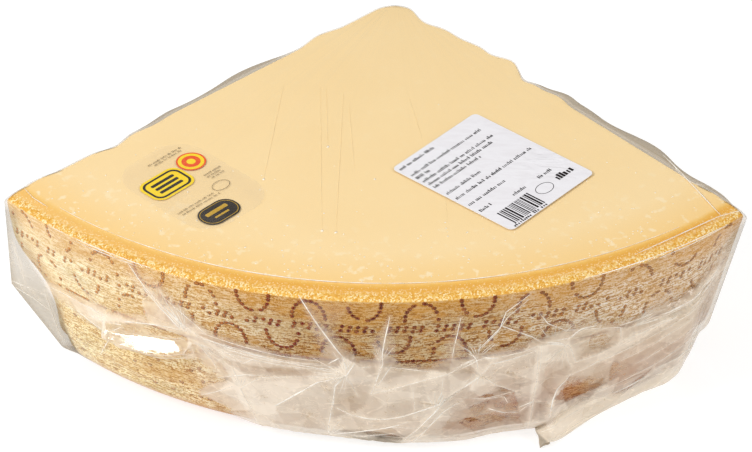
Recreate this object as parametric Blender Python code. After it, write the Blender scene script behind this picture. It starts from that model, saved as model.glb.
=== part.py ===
"""An eighth of a hard cheese wheel sealed in clear film, with a paper label and a clear label.

Blender 4.5, metres, +Z up. The wheel's axis is vertical, and the piece is a quarter of its
circle and half of its height, lying on the wheel's flat rind with the smooth middle cut on top.
The rounded rind faces -Y, and the two rough cut faces run back to the wheel's axis.
The origin is on the surface that the piece rests on.
"""

import math

import bpy
import bmesh
from mathutils import Vector, noise

# The cheese, in metres and radians
WHEEL_RADIUS = 0.225
HALF_HEIGHT = 0.095
SECTOR_ANGLE = math.radians(90)
SIDE_TAPER = 0.0155        # how far the rind leans in from the middle cut down to the foot
SIDE_CURVE = 1.3           # 1 would be a straight lean; more gives the barrel's swell
FOOT_ROUND = 0.015
RIM_WIDTH = 0.0103         # golden band between the smooth cut and the rind
RIM_DROP = 0.0025
CUT_DROP = 0.0012          # the film's fall from the smooth cut to its edge along a cut face
TIP_ROUND = 0.014          # worn tip where the two cut faces meet
FOOT_EDGE_ROUND = 0.003    # lower edge of the cut faces

# The film round it. Angles are from -Y about the wheel's axis, positive towards +X.
FILM_TIGHT_HEIGHT = 0.060   # above this the film lies on the rind
FILM_LOOSE_HEIGHT = 0.048   # below this it hangs free
FILM_LOOSE_START = math.radians(-24)
FILM_LOOSE_FULL = math.radians(-12)
FILM_SLACK = 0.0042
PUFF_ANGLE = math.radians(8)
PUFF_HEIGHT = 0.030
CORNER_WIDTH = math.radians(8)
CORNER_STAND = 0.001        # how far the film stands off the cheese's upper corners
LEFT_WEB_FOOT = 0.044       # the left corner's web drops straight down to this height
LEFT_WEB_TUCK = 0.022
RIGHT_CORNER_TUCK = 0.028
RIGHT_FOOT_TUCK = 0.006     # more, drawn in over the last stretch above the floor
RIGHT_FOOT_HEIGHT = 0.016
SEAM_FLAP_EAR = math.radians(18.8)   # where the ear starts to stand out
SEAM_FLAP_TIP = math.radians(20.0)
SEAM_FLAP_END = math.radians(39.0)
SEAM_FLAP_STAND = 0.024     # from the rind's foot to the tip of the ear
SEAM_FLAP_LOW = 0.0075      # the same at the flap's right end
SEAM_FLAP_FALL = 1.3
SEAM_FLAP_HEIGHT = 0.030

# The labels: centre from the wheel's axis, size, turn, corner radius
PAPER_LABEL_CENTRE = (0.0498, -0.1332)
PAPER_LABEL_SIZE = (0.0685, 0.0549)
PAPER_LABEL_TURN = math.radians(-38.4)
PAPER_LABEL_CORNER = 0.0025
CLEAR_LABEL_CENTRE = (-0.0790, -0.1490)
CLEAR_LABEL_SIZE = (0.0620, 0.0420)
CLEAR_LABEL_TURN = math.radians(-41.0)
CLEAR_LABEL_CORNER = 0.014
LABEL_THICKNESS = 0.0003
LABEL_GAP = 0.0003

# The mesh
RIND_COLUMNS = 108
CUT_COLUMNS = 46
SIDE_LEVELS = 14
FOOT_LEVELS = 5
CORNER_STEPS = 6
TIP_CROWDING = 1.08
CORNER_DRAW = 4             # how quickly a corner's own radius dies out along the cut face

AXIS = Vector((0.0, WHEEL_RADIUS / 2, 0.0))
HALF_ANGLE = SECTOR_ANGLE / 2

# Creases in the film over the rind: (angle, height) of both ends, how far it stands out, half width
FILM_CREASES = [
    ((-27.0, 0.090), (-17.5, 0.060), 0.0022, 0.0060),
    ((-39.5, 0.058), (-27.5, 0.046), 0.0030, 0.0070),
    ((-29.0, 0.048), (-14.0, 0.045), 0.0034, 0.0080),
    ((-14.0, 0.060), (4.0, 0.050), 0.0028, 0.0070),
    ((-2.0, 0.056), (-14.0, 0.022), 0.0030, 0.0070),
    ((-2.2, 0.058), (-4.0, 0.008), 0.0026, 0.0060),
    ((1.5, 0.053), (-8.0, 0.010), 0.0022, 0.0060),
    ((4.0, 0.050), (15.0, 0.052), 0.0026, 0.0070),
    ((15.0, 0.052), (-1.0, 0.012), 0.0030, 0.0070),
    ((15.0, 0.052), (29.0, 0.056), 0.0032, 0.0070),
    ((29.0, 0.056), (44.0, 0.070), 0.0034, 0.0070),
    ((21.0, 0.046), (18.5, 0.008), 0.0034, 0.0060),
    ((28.0, 0.040), (12.0, 0.020), 0.0026, 0.0080),
    ((37.0, 0.052), (24.0, 0.026), 0.0028, 0.0080),
    ((42.0, 0.030), (30.0, 0.020), 0.0030, 0.0060),
]

# Steps in the upper edge of each cut face: place from the axis, how far it stands out, half width
LEFT_EDGE_STEPS = [
    (0.046, 0.0023, 0.014),
    (0.145, -0.0014, 0.012),
    (0.165, -0.0034, 0.010),
    (0.215, 0.0020, 0.014),
]
RIGHT_EDGE_STEPS = [
    (0.020, -0.0040, 0.016),
    (0.056, 0.0020, 0.014),
    (0.073, 0.0050, 0.013),
    (0.088, -0.0016, 0.006),
    (0.108, 0.0016, 0.010),
    (0.215, 0.0012, 0.014),
]

# Film that stands out past each upper cut edge: place from the axis, how far, half width
LEFT_FILM_WEBS = [(0.090, 0.0048, 0.038), (0.135, 0.0030, 0.034)]
RIGHT_FILM_WEBS = [(0.120, 0.0050, 0.045), (0.163, 0.0068, 0.032), (0.200, 0.0034, 0.025)]
WEB_DEPTH = 0.040

# The torn cut faces under the film
CRAG_DEPTH = 0.0042
CRAG_SIZE = 0.026
FLAKE_DEPTH = 0.0016
FLAKE_SIZE = 0.010
TORN_START = 0.012          # depth at which the crags have their full height
EDGE_STEP_DEPTH = 0.030     # depth at which the upper edge's steps have died out
TIP_FADE = 0.030
RIND_FADE = 0.020


def clear_scene():
    for old in list(bpy.data.objects):
        bpy.data.objects.remove(old, do_unlink=True)


def material(name, colour, roughness, alpha=1.0):
    made = bpy.data.materials.new(name)
    made.use_nodes = True
    shader = made.node_tree.nodes["Principled BSDF"]
    shader.inputs["Base Color"].default_value = (*colour, 1.0)
    shader.inputs["Roughness"].default_value = roughness
    shader.inputs["Metallic"].default_value = 0.0
    shader.inputs["Alpha"].default_value = alpha
    made.diffuse_color = (*colour, alpha)
    return made


def smooth_step(value, low, high):
    part = min(max((value - low) / (high - low), 0.0), 1.0)
    return part * part * (3 - 2 * part)


def blend(first, second, share):
    return first + (second - first) * share


def bump(distance, half_width):
    """1 in the middle, 0 from half_width on."""
    near = 1 - min(abs(distance) / half_width, 1.0)
    return near * near * (3 - 2 * near)


def radial(angle):
    """The level direction from the wheel's axis at this angle from -Y, positive towards +X."""
    return Vector((math.sin(angle), -math.cos(angle), 0.0))


def foot_pull(height, radius):
    """How far a quarter-round lower edge pulls the wall in at this height."""
    if height >= radius:
        return 0.0
    return radius - math.sqrt(max(radius**2 - (radius - height) ** 2, 0.0))


def rind_radius(height):
    """The bare rind: widest at the middle cut, leaning in towards the rounded foot."""
    depth = (HALF_HEIGHT - height) / HALF_HEIGHT
    return WHEEL_RADIUS - SIDE_TAPER * depth**SIDE_CURVE - foot_pull(height, FOOT_ROUND)


def crease_lift(angle, height):
    """The highest of the film's creases here. Each is a narrow ridge that fades at its ends."""
    here = Vector((WHEEL_RADIUS * angle, height))
    best = 0.0
    for start, end, lift, half_width in FILM_CREASES:
        first = Vector((WHEEL_RADIUS * math.radians(start[0]), start[1]))
        run = Vector((WHEEL_RADIUS * math.radians(end[0]), end[1])) - first
        along = min(max((here - first).dot(run) / run.length_squared, 0.0), 1.0)
        aside = (here - first - run * along).length
        fade = math.sin(math.pi * blend(0.15, 0.85, along))
        best = max(best, lift * fade * (1 - min(aside / half_width, 1.0)) ** 1.5)
    return best


def slack_lift(angle, height):
    """The free-hanging film over the lower rind, from the left crease round to the right corner."""
    hangs = 1 - smooth_step(height, FILM_LOOSE_HEIGHT, FILM_TIGHT_HEIGHT)
    reach = smooth_step(angle, FILM_LOOSE_START, FILM_LOOSE_FULL)
    puff = noise.noise(Vector((angle / PUFF_ANGLE, height / PUFF_HEIGHT, 2.7)))
    return FILM_SLACK * hangs * reach * (0.55 + 0.45 * puff)


def flap_radius(angle, height):
    """The sealed seam of the film, folded down in front: it ends in an ear that stands out."""
    if not SEAM_FLAP_EAR < angle < SEAM_FLAP_END:
        return 0.0
    past_tip = max((angle - SEAM_FLAP_TIP) / (SEAM_FLAP_END - SEAM_FLAP_TIP), 0.0)
    stand = blend(SEAM_FLAP_LOW, SEAM_FLAP_STAND, (1 - past_tip) ** SEAM_FLAP_FALL)
    if angle < SEAM_FLAP_TIP:
        stand *= smooth_step(angle, SEAM_FLAP_EAR, SEAM_FLAP_TIP)
    lean = smooth_step(height, 0.0, SEAM_FLAP_HEIGHT)
    return blend(rind_radius(0.0) + stand, rind_radius(SEAM_FLAP_HEIGHT), lean)


def left_corner_radius(height):
    """A web of film: straight down from the rim, then tucked in under the piece."""
    tuck = min(max((LEFT_WEB_FOOT - height) / LEFT_WEB_FOOT, 0.0), 1.0)
    return WHEEL_RADIUS + CORNER_STAND - LEFT_WEB_TUCK * tuck


def right_corner_radius(height):
    """Film drawn in a straight line from the rim to the foot."""
    depth = (HALF_HEIGHT - height) / HALF_HEIGHT
    straight = WHEEL_RADIUS + CORNER_STAND - RIGHT_CORNER_TUCK * depth
    return straight - RIGHT_FOOT_TUCK * (1 - smooth_step(height, 0.0, RIGHT_FOOT_HEIGHT))


def front_radius(angle, height):
    """The outside of the film over the rind."""
    radius = rind_radius(height) + max(crease_lift(angle, height), slack_lift(angle, height))
    if height < SEAM_FLAP_HEIGHT:
        radius = max(radius, flap_radius(angle, height))
    corner = left_corner_radius(height) if angle < 0 else right_corner_radius(height)
    share = smooth_step(abs(angle), HALF_ANGLE - CORNER_WIDTH, HALF_ANGLE)
    return blend(radius, corner, share)


def steps_at(steps, place):
    return sum(out * bump(place - middle, half_width) for middle, out, half_width in steps)


def crags(side, place, height):
    """The torn surface of a cut face under its film: broad crags with flakes on them."""
    at = Vector((place / CRAG_SIZE, height / CRAG_SIZE, 4.0 * side))
    crag = 0.5 - noise.voronoi(at)[0][0]
    at = Vector((place / FLAKE_SIZE, height / FLAKE_SIZE, 9.0 * side))
    flake = 0.5 - noise.voronoi(at)[0][0]
    return CRAG_DEPTH * crag + FLAKE_DEPTH * flake


def cut_offset(side, place, height):
    """How far the wrapped cut face stands out from its true plane. side is 1 right, -1 left."""
    steps = RIGHT_EDGE_STEPS if side > 0 else LEFT_EDGE_STEPS
    webs = RIGHT_FILM_WEBS if side > 0 else LEFT_FILM_WEBS
    depth = HALF_HEIGHT - height
    edge = steps_at(steps, place) * (1 - smooth_step(depth, 0.0, EDGE_STEP_DEPTH))
    web_left = 1 - smooth_step(depth, CUT_DROP, WEB_DEPTH)
    web = steps_at(webs, place) * min(depth / CUT_DROP, 1.0) * web_left
    torn = crags(side, place, height) * smooth_step(depth, 0.0, TORN_START)
    fade = smooth_step(place, 0.0, TIP_FADE) * smooth_step(WHEEL_RADIUS - place, 0.0, RIND_FADE)
    return (edge + web + torn - foot_pull(height, FOOT_EDGE_ROUND)) * fade


def tip_pull(place):
    """How far the worn tip draws a cut face in from its true plane, near the wheel's axis."""
    return foot_pull(place, TIP_ROUND)


def level_heights():
    """The heights of the loops below the rim, down to the floor."""
    top = HALF_HEIGHT - RIM_DROP
    side = [blend(top, FOOT_ROUND, step / SIDE_LEVELS) for step in range(1, SIDE_LEVELS + 1)]
    turns = [math.pi / 2 * step / FOOT_LEVELS for step in range(1, FOOT_LEVELS + 1)]
    return side + [FOOT_ROUND * (1 - math.sin(turn)) for turn in turns]


def front_point(angle, height, inset=0.0):
    return AXIS + radial(angle) * (front_radius(angle, height) - inset) + Vector((0, 0, height))


def cut_point(side, place, height, corner_radius):
    """A point of a cut face. Places near the corner follow the corner's own radius."""
    along = radial(side * HALF_ANGLE)
    outward = Vector((side * math.cos(HALF_ANGLE), math.sin(HALF_ANGLE), 0.0))
    drawn = place + (corner_radius - WHEEL_RADIUS) * (place / WHEEL_RADIUS) ** CORNER_DRAW
    offset = cut_offset(side, place, height) - tip_pull(place)
    return AXIS + along * drawn + outward * offset + Vector((0, 0, height))


def cut_places():
    """Places along a cut face from the corner to the tip, closer together round the worn tip."""
    shares = [step / CUT_COLUMNS for step in range(1, CUT_COLUMNS)]
    tip_end = TIP_ROUND * (1 - math.cos(math.pi / 4))
    return [tip_end + (WHEEL_RADIUS - tip_end) * (1 - share) ** TIP_CROWDING for share in shares]


def bag_loop(height, top=False):
    """One level loop of the wrapped piece, anticlockwise from above, starting at the left corner."""
    inset = RIM_WIDTH if top else 0.0
    angles = [blend(-HALF_ANGLE, HALF_ANGLE, step / RIND_COLUMNS) for step in range(RIND_COLUMNS + 1)]
    loop = [front_point(angle, height, inset) for angle in angles]
    right_corner = front_radius(HALF_ANGLE, height) - inset
    left_corner = front_radius(-HALF_ANGLE, height) - inset
    tip = AXIS + Vector((0.0, -TIP_ROUND * (math.sqrt(2) - 1), height))
    loop += [cut_point(1, place, height, right_corner) for place in cut_places()]
    loop.append(tip)
    loop += [cut_point(-1, place, height, left_corner) for place in reversed(cut_places())]
    return loop


def rim_loop():
    """The edge where the golden band meets the rind. Along the cut faces the film falls less."""
    front = bag_loop(HALF_HEIGHT)[: RIND_COLUMNS + 1]
    cut = bag_loop(HALF_HEIGHT - CUT_DROP)[RIND_COLUMNS + 1 :]
    for point in front:
        point.z = HALF_HEIGHT - RIM_DROP
    for point in cut:
        from_axis = Vector((point.x - AXIS.x, point.y - AXIS.y)).length
        near_rind = smooth_step(from_axis, WHEEL_RADIUS - RIND_FADE, WHEEL_RADIUS)
        point.z = HALF_HEIGHT - blend(CUT_DROP, RIM_DROP, near_rind)
    return front + cut


def mesh_object(name, mesh_maker, surface):
    shape = bmesh.new()
    mesh_maker(shape)
    bmesh.ops.recalc_face_normals(shape, faces=shape.faces)
    mesh = bpy.data.meshes.new(name)
    shape.to_mesh(mesh)
    shape.free()
    mesh.materials.append(surface)
    made = bpy.data.objects.new(name, mesh)
    bpy.context.scene.collection.objects.link(made)
    return made


def bridge(shape, upper, lower):
    count = len(upper)
    for here in range(count):
        after = (here + 1) % count
        shape.faces.new((upper[here], lower[here], lower[after], upper[after]))


def make_bag(shape):
    """Loops from the smooth top down to the floor, bridged, with a flat face at each end."""
    loops = [bag_loop(HALF_HEIGHT, top=True), rim_loop()]
    loops += [bag_loop(height) for height in level_heights()]
    rings = [[shape.verts.new(point) for point in loop] for loop in loops]
    for upper, lower in zip(rings, rings[1:]):
        bridge(shape, upper, lower)
    shape.faces.new(rings[0])
    shape.faces.new(list(reversed(rings[-1])))


def rounded_outline(size, corner):
    """The corners' arcs of a rounded rectangle about (0, 0), anticlockwise."""
    points = []
    for quarter, (x_sign, y_sign) in enumerate(((1, 1), (-1, 1), (-1, -1), (1, -1))):
        middle = Vector((x_sign * (size[0] / 2 - corner), y_sign * (size[1] / 2 - corner), 0.0))
        for step in range(CORNER_STEPS + 1):
            turn = math.pi / 2 * (quarter + step / CORNER_STEPS)
            points.append(middle + corner * Vector((math.cos(turn), math.sin(turn), 0.0)))
    return points


def make_label(shape, size, corner):
    rim = [shape.verts.new(point) for point in rounded_outline(size, corner)]
    face = shape.faces.new(rim)
    raised = bmesh.ops.extrude_face_region(shape, geom=[face])
    lifted = [part for part in raised["geom"] if isinstance(part, bmesh.types.BMVert)]
    bmesh.ops.translate(shape, verts=lifted, vec=(0.0, 0.0, LABEL_THICKNESS))


def label(name, size_and_corner, centre, turn, surface):
    made = mesh_object(name, lambda shape: make_label(shape, *size_and_corner), surface)
    made.location = AXIS + Vector((centre[0], centre[1], HALF_HEIGHT + LABEL_GAP))
    made.rotation_euler = (0.0, 0.0, turn)


def build():
    clear_scene()
    film = material("film over cheese", (0.83, 0.62, 0.30), 0.30)
    paper = material("white label paper", (0.86, 0.85, 0.87), 0.60)
    foil = material("clear printed label", (0.78, 0.66, 0.42), 0.25)
    mesh_object("sealed_cheese", make_bag, film)
    paper_shape = (PAPER_LABEL_SIZE, PAPER_LABEL_CORNER)
    label("paper_label", paper_shape, PAPER_LABEL_CENTRE, PAPER_LABEL_TURN, paper)
    clear_shape = (CLEAR_LABEL_SIZE, CLEAR_LABEL_CORNER)
    label("clear_label", clear_shape, CLEAR_LABEL_CENTRE, CLEAR_LABEL_TURN, foil)


build()
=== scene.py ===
import functools
import math
import random

import bpy
import numpy as np
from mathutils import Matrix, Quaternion, Vector, geometry, kdtree, noise


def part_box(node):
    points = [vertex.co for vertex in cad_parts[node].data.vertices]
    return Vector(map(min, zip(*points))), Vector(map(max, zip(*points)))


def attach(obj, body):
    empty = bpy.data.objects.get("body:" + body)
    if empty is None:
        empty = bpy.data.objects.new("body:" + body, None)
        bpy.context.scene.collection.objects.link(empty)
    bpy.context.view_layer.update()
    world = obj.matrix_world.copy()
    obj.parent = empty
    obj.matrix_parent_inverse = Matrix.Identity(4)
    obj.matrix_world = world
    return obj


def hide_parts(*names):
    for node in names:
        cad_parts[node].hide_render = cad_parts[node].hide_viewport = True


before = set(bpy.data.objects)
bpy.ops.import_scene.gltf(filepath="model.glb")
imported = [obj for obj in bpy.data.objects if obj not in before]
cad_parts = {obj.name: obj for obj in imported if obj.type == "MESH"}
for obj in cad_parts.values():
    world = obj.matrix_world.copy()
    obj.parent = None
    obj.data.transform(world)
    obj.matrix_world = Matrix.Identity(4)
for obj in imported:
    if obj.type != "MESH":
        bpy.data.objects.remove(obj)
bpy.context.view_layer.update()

# ---------------------------------------------------------------------------------------------
# The cheese: a quarter of a hard wheel's circle and half of its height. Its top is a smooth
# knife cut, its two flat sides are torn open, and its round wall is the dry brushed rind. The
# golden band along the rim is the paste that dried out under the rind while the wheel aged.
# ---------------------------------------------------------------------------------------------
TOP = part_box("sealed_cheese")[1][2]
WHEEL_RADIUS = 0.225
AXIS_Y = WHEEL_RADIUS / 2
HALF_ANGLE = math.radians(45)
SIDE_TAPER = 0.0155         # how far the rind leans in from the middle cut down to the foot
SIDE_CURVE = 1.3
FOOT_ROUND = 0.015
RIM_WIDTH = 0.0103
RIM_DROP = 0.0025
TIP_ROUND = 0.014
FOOT_EDGE_ROUND = 0.003
SKIN = 0.0004               # the cheese lies this far inside the film
EDGE_WEAR = 0.0006          # rounding of the knife cut's edge along the torn faces

# The film draws its two upright corners in towards the foot, and the cheese's stay inside them
CORNER_WIDTH = math.radians(8)
CORNER_STAND = 0.001
LEFT_WEB_FOOT = 0.048
LEFT_WEB_TUCK = 0.0240
RIGHT_CORNER_TUCK = 0.028
RIGHT_FOOT_TUCK = 0.009
RIGHT_FOOT_HEIGHT = 0.026
CORNER_ROOM = 0.0018

# The foot stands farther in under the film: left of the middle, at the right end, and a little
# under the fold between them
FOOT_DRAWN = 0.0034
FOOT_DRAWN_RIGHT = 0.9      # shares of it
FOOT_DRAWN_UNDER_FOLD = 0.7
FOOT_DRAWN_HEIGHT = 0.034

LEFT_CHIP = 0.0105          # the lower left corner of the rind is knocked off
LEFT_CHIP_HEIGHT = 0.030
LEFT_CHIP_REACH = 0.046
CHIP_ANGLE = math.radians(39)

# Bites and bulges of each torn face's upper edge: place from the axis, how far out, half width
LEFT_EDGE_STEPS = [
    (0.046, 0.0023, 0.014),
    (0.145, -0.0010, 0.014),
    (0.168, -0.0026, 0.014),
    (0.215, 0.0020, 0.014),
]
RIGHT_EDGE_STEPS = [
    (0.020, -0.0040, 0.016),
    (0.056, 0.0020, 0.014),
    (0.073, 0.0050, 0.013),
    (0.088, -0.0016, 0.006),
    (0.108, 0.0016, 0.010),
    (0.215, 0.0012, 0.014),
]
CRAG_DEPTH = 0.0042
CRAG_SIZE = 0.026
FLAKE_DEPTH = 0.0016
FLAKE_SIZE = 0.010
GRAIN_DEPTH = 0.0005
GRAIN_SIZE = 0.0035
TORN_START = 0.012
EDGE_STEP_DEPTH = 0.030
TIP_FADE = 0.030
RIND_FADE = 0.020
CORNER_DRAW = 4

# The mesh: loops on the top as shares of its width, loops round the rim, and how closely the
# columns of the cut faces stand near the corners
TOP_LOOPS = (0.35, 0.70, 0.90, 0.97, 0.99)
RIM_LOOPS = 9
CUT_CROWDING = 1.08
CHEESE_COLUMNS = 320
CHEESE_CUT_COLUMNS = 112
CHEESE_LEVEL_STEP = 0.0018

PASTE = "#fadda6"
PASTE_NEAR_RIM = "#f8d28c"
GOLD = "#e7ab3f"
GOLD_LIGHT = "#f2c263"
CRUMB_YELLOW = "#eebb48"
RIND_ORANGE = "#c08a2c"
RIND_GREY = "#bca77e"


def smooth_step(value, low, high):
    part = np.clip((value - low) / (high - low), 0.0, 1.0)
    return part * part * (3 - 2 * part)


def mix(first, second, share):
    return first + (second - first) * share


def bump(distance, half_width):
    """1 in the middle, 0 from half_width on."""
    near = 1 - np.minimum(np.abs(distance) / half_width, 1.0)
    return near * near * (3 - 2 * near)


def quarter_pull(height, radius):
    """How far a quarter-round edge draws a wall in at this height above its start."""
    left = np.clip(radius - height, 0.0, radius)
    return radius - np.sqrt(radius**2 - left**2)


def rind_radius(height):
    depth = np.clip((TOP - height) / TOP, 0.0, 1.0)
    return WHEEL_RADIUS - SIDE_TAPER * depth**SIDE_CURVE - quarter_pull(height, FOOT_ROUND)


def steps_at(steps, places):
    return sum(out * bump(places - middle, half_width) for middle, out, half_width in steps)


@np.vectorize
def crags(side, place, height):
    """Broad crags with flakes on them."""
    crag = 0.5 - noise.voronoi(Vector((place / CRAG_SIZE, height / CRAG_SIZE, 4.0 * side)))[0][0]
    flake = 0.5 - noise.voronoi(Vector((place / FLAKE_SIZE, height / FLAKE_SIZE, 9.0 * side)))[0][0]
    return CRAG_DEPTH * crag + FLAKE_DEPTH * flake


@np.vectorize
def grain(side, place, height):
    return noise.noise(Vector((place / GRAIN_SIZE, height / GRAIN_SIZE, 2.0 * side)))


def torn_offset(side, places, heights):
    """How far a torn face stands out from its true plane. side is 1 right, -1 left."""
    depth = TOP - heights
    steps = RIGHT_EDGE_STEPS if side > 0 else LEFT_EDGE_STEPS
    edge = steps_at(steps, places) * (1 - smooth_step(depth, 0.0, EDGE_STEP_DEPTH))
    torn = crags(side, places, heights) * smooth_step(depth, 0.0, TORN_START)
    fade = smooth_step(places, 0.0, TIP_FADE) * smooth_step(WHEEL_RADIUS - places, 0.0, RIND_FADE)
    return (edge + torn - quarter_pull(heights, FOOT_EDGE_ROUND)) * fade


def cheese_cut(side, places, heights):
    rough = GRAIN_DEPTH * grain(side, places, heights) * smooth_step(TOP - heights, 0.0, TORN_START)
    return torn_offset(side, places, heights) - SKIN + rough * smooth_step(places, 0.0, TIP_FADE)


def corner_radius(side, height):
    """How far from the axis the film's upright corner stands. side is 1 right, -1 left."""
    if side < 0:
        tuck = np.clip((LEFT_WEB_FOOT - height) / LEFT_WEB_FOOT, 0.0, 1.0)
        return WHEEL_RADIUS + CORNER_STAND - LEFT_WEB_TUCK * tuck
    low = RIGHT_FOOT_TUCK * (1 - smooth_step(height, 0.0, RIGHT_FOOT_HEIGHT))
    return WHEEL_RADIUS + CORNER_STAND - RIGHT_CORNER_TUCK * (TOP - height) / TOP - low


def drawn_foot(angles, height):
    """How much farther in the wall stands near the foot."""
    left = smooth_step(-angles, math.radians(-5), math.radians(5))
    right = FOOT_DRAWN_RIGHT * smooth_step(angles, math.radians(27), math.radians(35))
    under_fold = FOOT_DRAWN_UNDER_FOLD * bump(angles - math.radians(16), math.radians(6))
    drawn = FOOT_DRAWN * (left + right + under_fold)
    return drawn * (1 - smooth_step(height, 0.0, FOOT_DRAWN_HEIGHT))


def cheese_front(angles, height):
    knocked = bump(height - LEFT_CHIP_HEIGHT, LEFT_CHIP_REACH)
    left = LEFT_CHIP * knocked * smooth_step(-angles, CHIP_ANGLE, HALF_ANGLE)
    drawn_in = np.maximum(rind_radius(height) - corner_radius(1, height) + CORNER_ROOM, 0.0)
    right = drawn_in * smooth_step(angles, HALF_ANGLE - CORNER_WIDTH, HALF_ANGLE)
    return rind_radius(height) - SKIN - left - right - drawn_foot(angles, height)


def body_loop(spacing, front, cut, height, inset=0.0, edge_height=None, edge_inset=0.0):
    """One loop round the piece, from the left corner along the rind, anticlockwise from above.

    The rind's part lies at height, drawn in by inset, and the torn faces' part at edge_height.
    """
    angles, places = spacing
    radii = front(angles, height) - inset
    away = np.stack([np.sin(angles), -np.cos(angles), np.zeros_like(angles)], 1)
    rind = radii[:, None] * away + np.array([0.0, AXIS_Y, height])
    edge = height if edge_height is None else edge_height
    near_rind = smooth_step(places, WHEEL_RADIUS - RIND_FADE, WHEEL_RADIUS)
    heights = mix(edge, height, near_rind)
    tip_clear = smooth_step(places, 0.0, TIP_FADE) * (1 - near_rind)
    sides = []
    for side, corner in ((1, radii[-1]), (-1, radii[0])):
        drawn = places + (corner - WHEEL_RADIUS) * (places / WHEEL_RADIUS) ** CORNER_DRAW
        out = cut(side, places, heights) - quarter_pull(places, TIP_ROUND) - edge_inset * tip_clear
        x = side * (math.sin(HALF_ANGLE) * drawn + math.cos(HALF_ANGLE) * out)
        y = AXIS_Y - math.cos(HALF_ANGLE) * drawn + math.sin(HALF_ANGLE) * out
        sides.append(np.stack([x, y, heights], 1))
    tip = np.array([[0.0, AXIS_Y - TIP_ROUND * (math.sqrt(2) - 1), edge]])
    return np.concatenate([rind, sides[0], tip, sides[1][::-1]])


def body_spacing(columns, cut_columns):
    """The angles along the rind, and the places along a cut face from the corner to the tip."""
    angles = np.linspace(-HALF_ANGLE, HALF_ANGLE, columns + 1)
    tip_end = TIP_ROUND * (1 - math.cos(math.pi / 4))
    shares = np.arange(1, cut_columns) / cut_columns
    return angles, tip_end + (WHEEL_RADIUS - tip_end) * (1 - shares) ** CUT_CROWDING


def body_loops(spacing, front, cut, top, foot, level_step):
    """Loops from the flat top over the rim's rounding and down the wall to the flat foot."""
    edge_of_top = body_loop(spacing, front, cut, top, RIM_WIDTH, edge_inset=EDGE_WEAR)
    middle = edge_of_top.mean(axis=0)
    loops = [mix(middle, edge_of_top, share) for share in TOP_LOOPS]
    for turn in np.linspace(0.0, math.pi / 2, RIM_LOOPS):
        inset = RIM_WIDTH * (1 - math.sin(turn))
        drop = RIM_DROP * (1 - math.cos(turn))
        worn = EDGE_WEAR * (1 - math.sin(turn))
        edge = top - EDGE_WEAR * (1 - math.cos(turn))
        loops.append(body_loop(spacing, front, cut, top - drop, inset, edge, worn))
    wall_top = top - RIM_DROP
    steps = round((wall_top - FOOT_ROUND) / level_step)
    heights = [mix(wall_top, FOOT_ROUND, step / steps) for step in range(1, steps + 1)]
    turns = np.linspace(0.0, math.pi / 2, round(FOOT_ROUND * 1.5 / level_step) + 1)[1:]
    heights += [foot + (FOOT_ROUND - foot) * (1 - math.sin(turn)) for turn in turns]
    for height in heights:
        near_top = smooth_step(height, wall_top - 0.006, wall_top)
        edge = mix(height, top - EDGE_WEAR, near_top)
        loops.append(body_loop(spacing, front, cut, height, edge_height=edge))
    return loops


def new_piece(name, points, faces, material):
    mesh = bpy.data.meshes.new(name)
    mesh.from_pydata([tuple(point) for point in points], [], faces)
    mesh.materials.append(material)
    mesh.polygons.foreach_set("use_smooth", [True] * len(mesh.polygons))
    piece = bpy.data.objects.new(name, mesh)
    bpy.context.scene.collection.objects.link(piece)
    return piece


def body_piece(name, loops, material):
    """Bridges the loops and closes the flat top and foot with a fan each."""
    count = len(loops[0])
    points = np.concatenate(loops)
    top_middle = loops[0].mean(axis=0)
    foot_middle = loops[-1].mean(axis=0)
    points = np.concatenate([points, [top_middle, foot_middle]])
    top_index = len(points) - 2
    faces = []
    for here in range(count):
        after = (here + 1) % count
        faces.append((here, after, top_index))
        last = (len(loops) - 1) * count
        faces.append((last + after, last + here, top_index + 1))
        for level in range(len(loops) - 1):
            upper = level * count
            lower = upper + count
            faces.append((upper + here, lower + here, lower + after, upper + after))
    return new_piece(name, points, faces, material), points


def add_values(piece, name, values):
    layer = piece.data.attributes.new(name, "FLOAT", "POINT")
    layer.data.foreach_set("value", np.asarray(values, dtype=np.float32))


def linear(hex_colour):
    """An sRGB hex colour as Blender's linear values."""
    parts = [int(hex_colour[place : place + 2], 16) / 255 for place in (1, 3, 5)]
    curve = [part / 12.92 if part <= 0.04045 else ((part + 0.055) / 1.055) ** 2.4 for part in parts]
    return (*curve, 1.0)


def set_inputs(made, inputs):
    """Fills a node's inputs, in order or by name: values, hex colours or sockets to link from."""
    for key, value in inputs.items() if isinstance(inputs, dict) else enumerate(inputs):
        if isinstance(value, bpy.types.NodeSocket):
            made.id_data.links.new(value, made.inputs[key])
        elif isinstance(value, str) and value.startswith("#"):
            made.inputs[key].default_value = linear(value)
        else:
            made.inputs[key].default_value = value


def node(tree, kind, inputs=(), out=0, stops=(), **settings):
    """Adds a node and returns one of its outputs, or all of them where out is None."""
    full_name = kind.startswith(("Geometry", "Function", "NodeGroup"))
    made = tree.nodes.new(kind if full_name else "ShaderNode" + kind)
    for name, value in settings.items():
        setattr(made, name, value)
    set_inputs(made, inputs)
    if stops:
        ramp = made.color_ramp
        while len(ramp.elements) < len(stops):
            ramp.elements.new(1.0)
        for element, (place, colour) in zip(ramp.elements, stops):
            element.position = place
            element.color = linear(colour)
    return made.outputs if out is None else made.outputs[out]


def new_material(name):
    """A new material, the function that adds nodes to it, and its Principled shader."""
    made = bpy.data.materials.new(name)
    made.use_nodes = True
    return made, functools.partial(node, made.node_tree), made.node_tree.nodes["Principled BSDF"]


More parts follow.
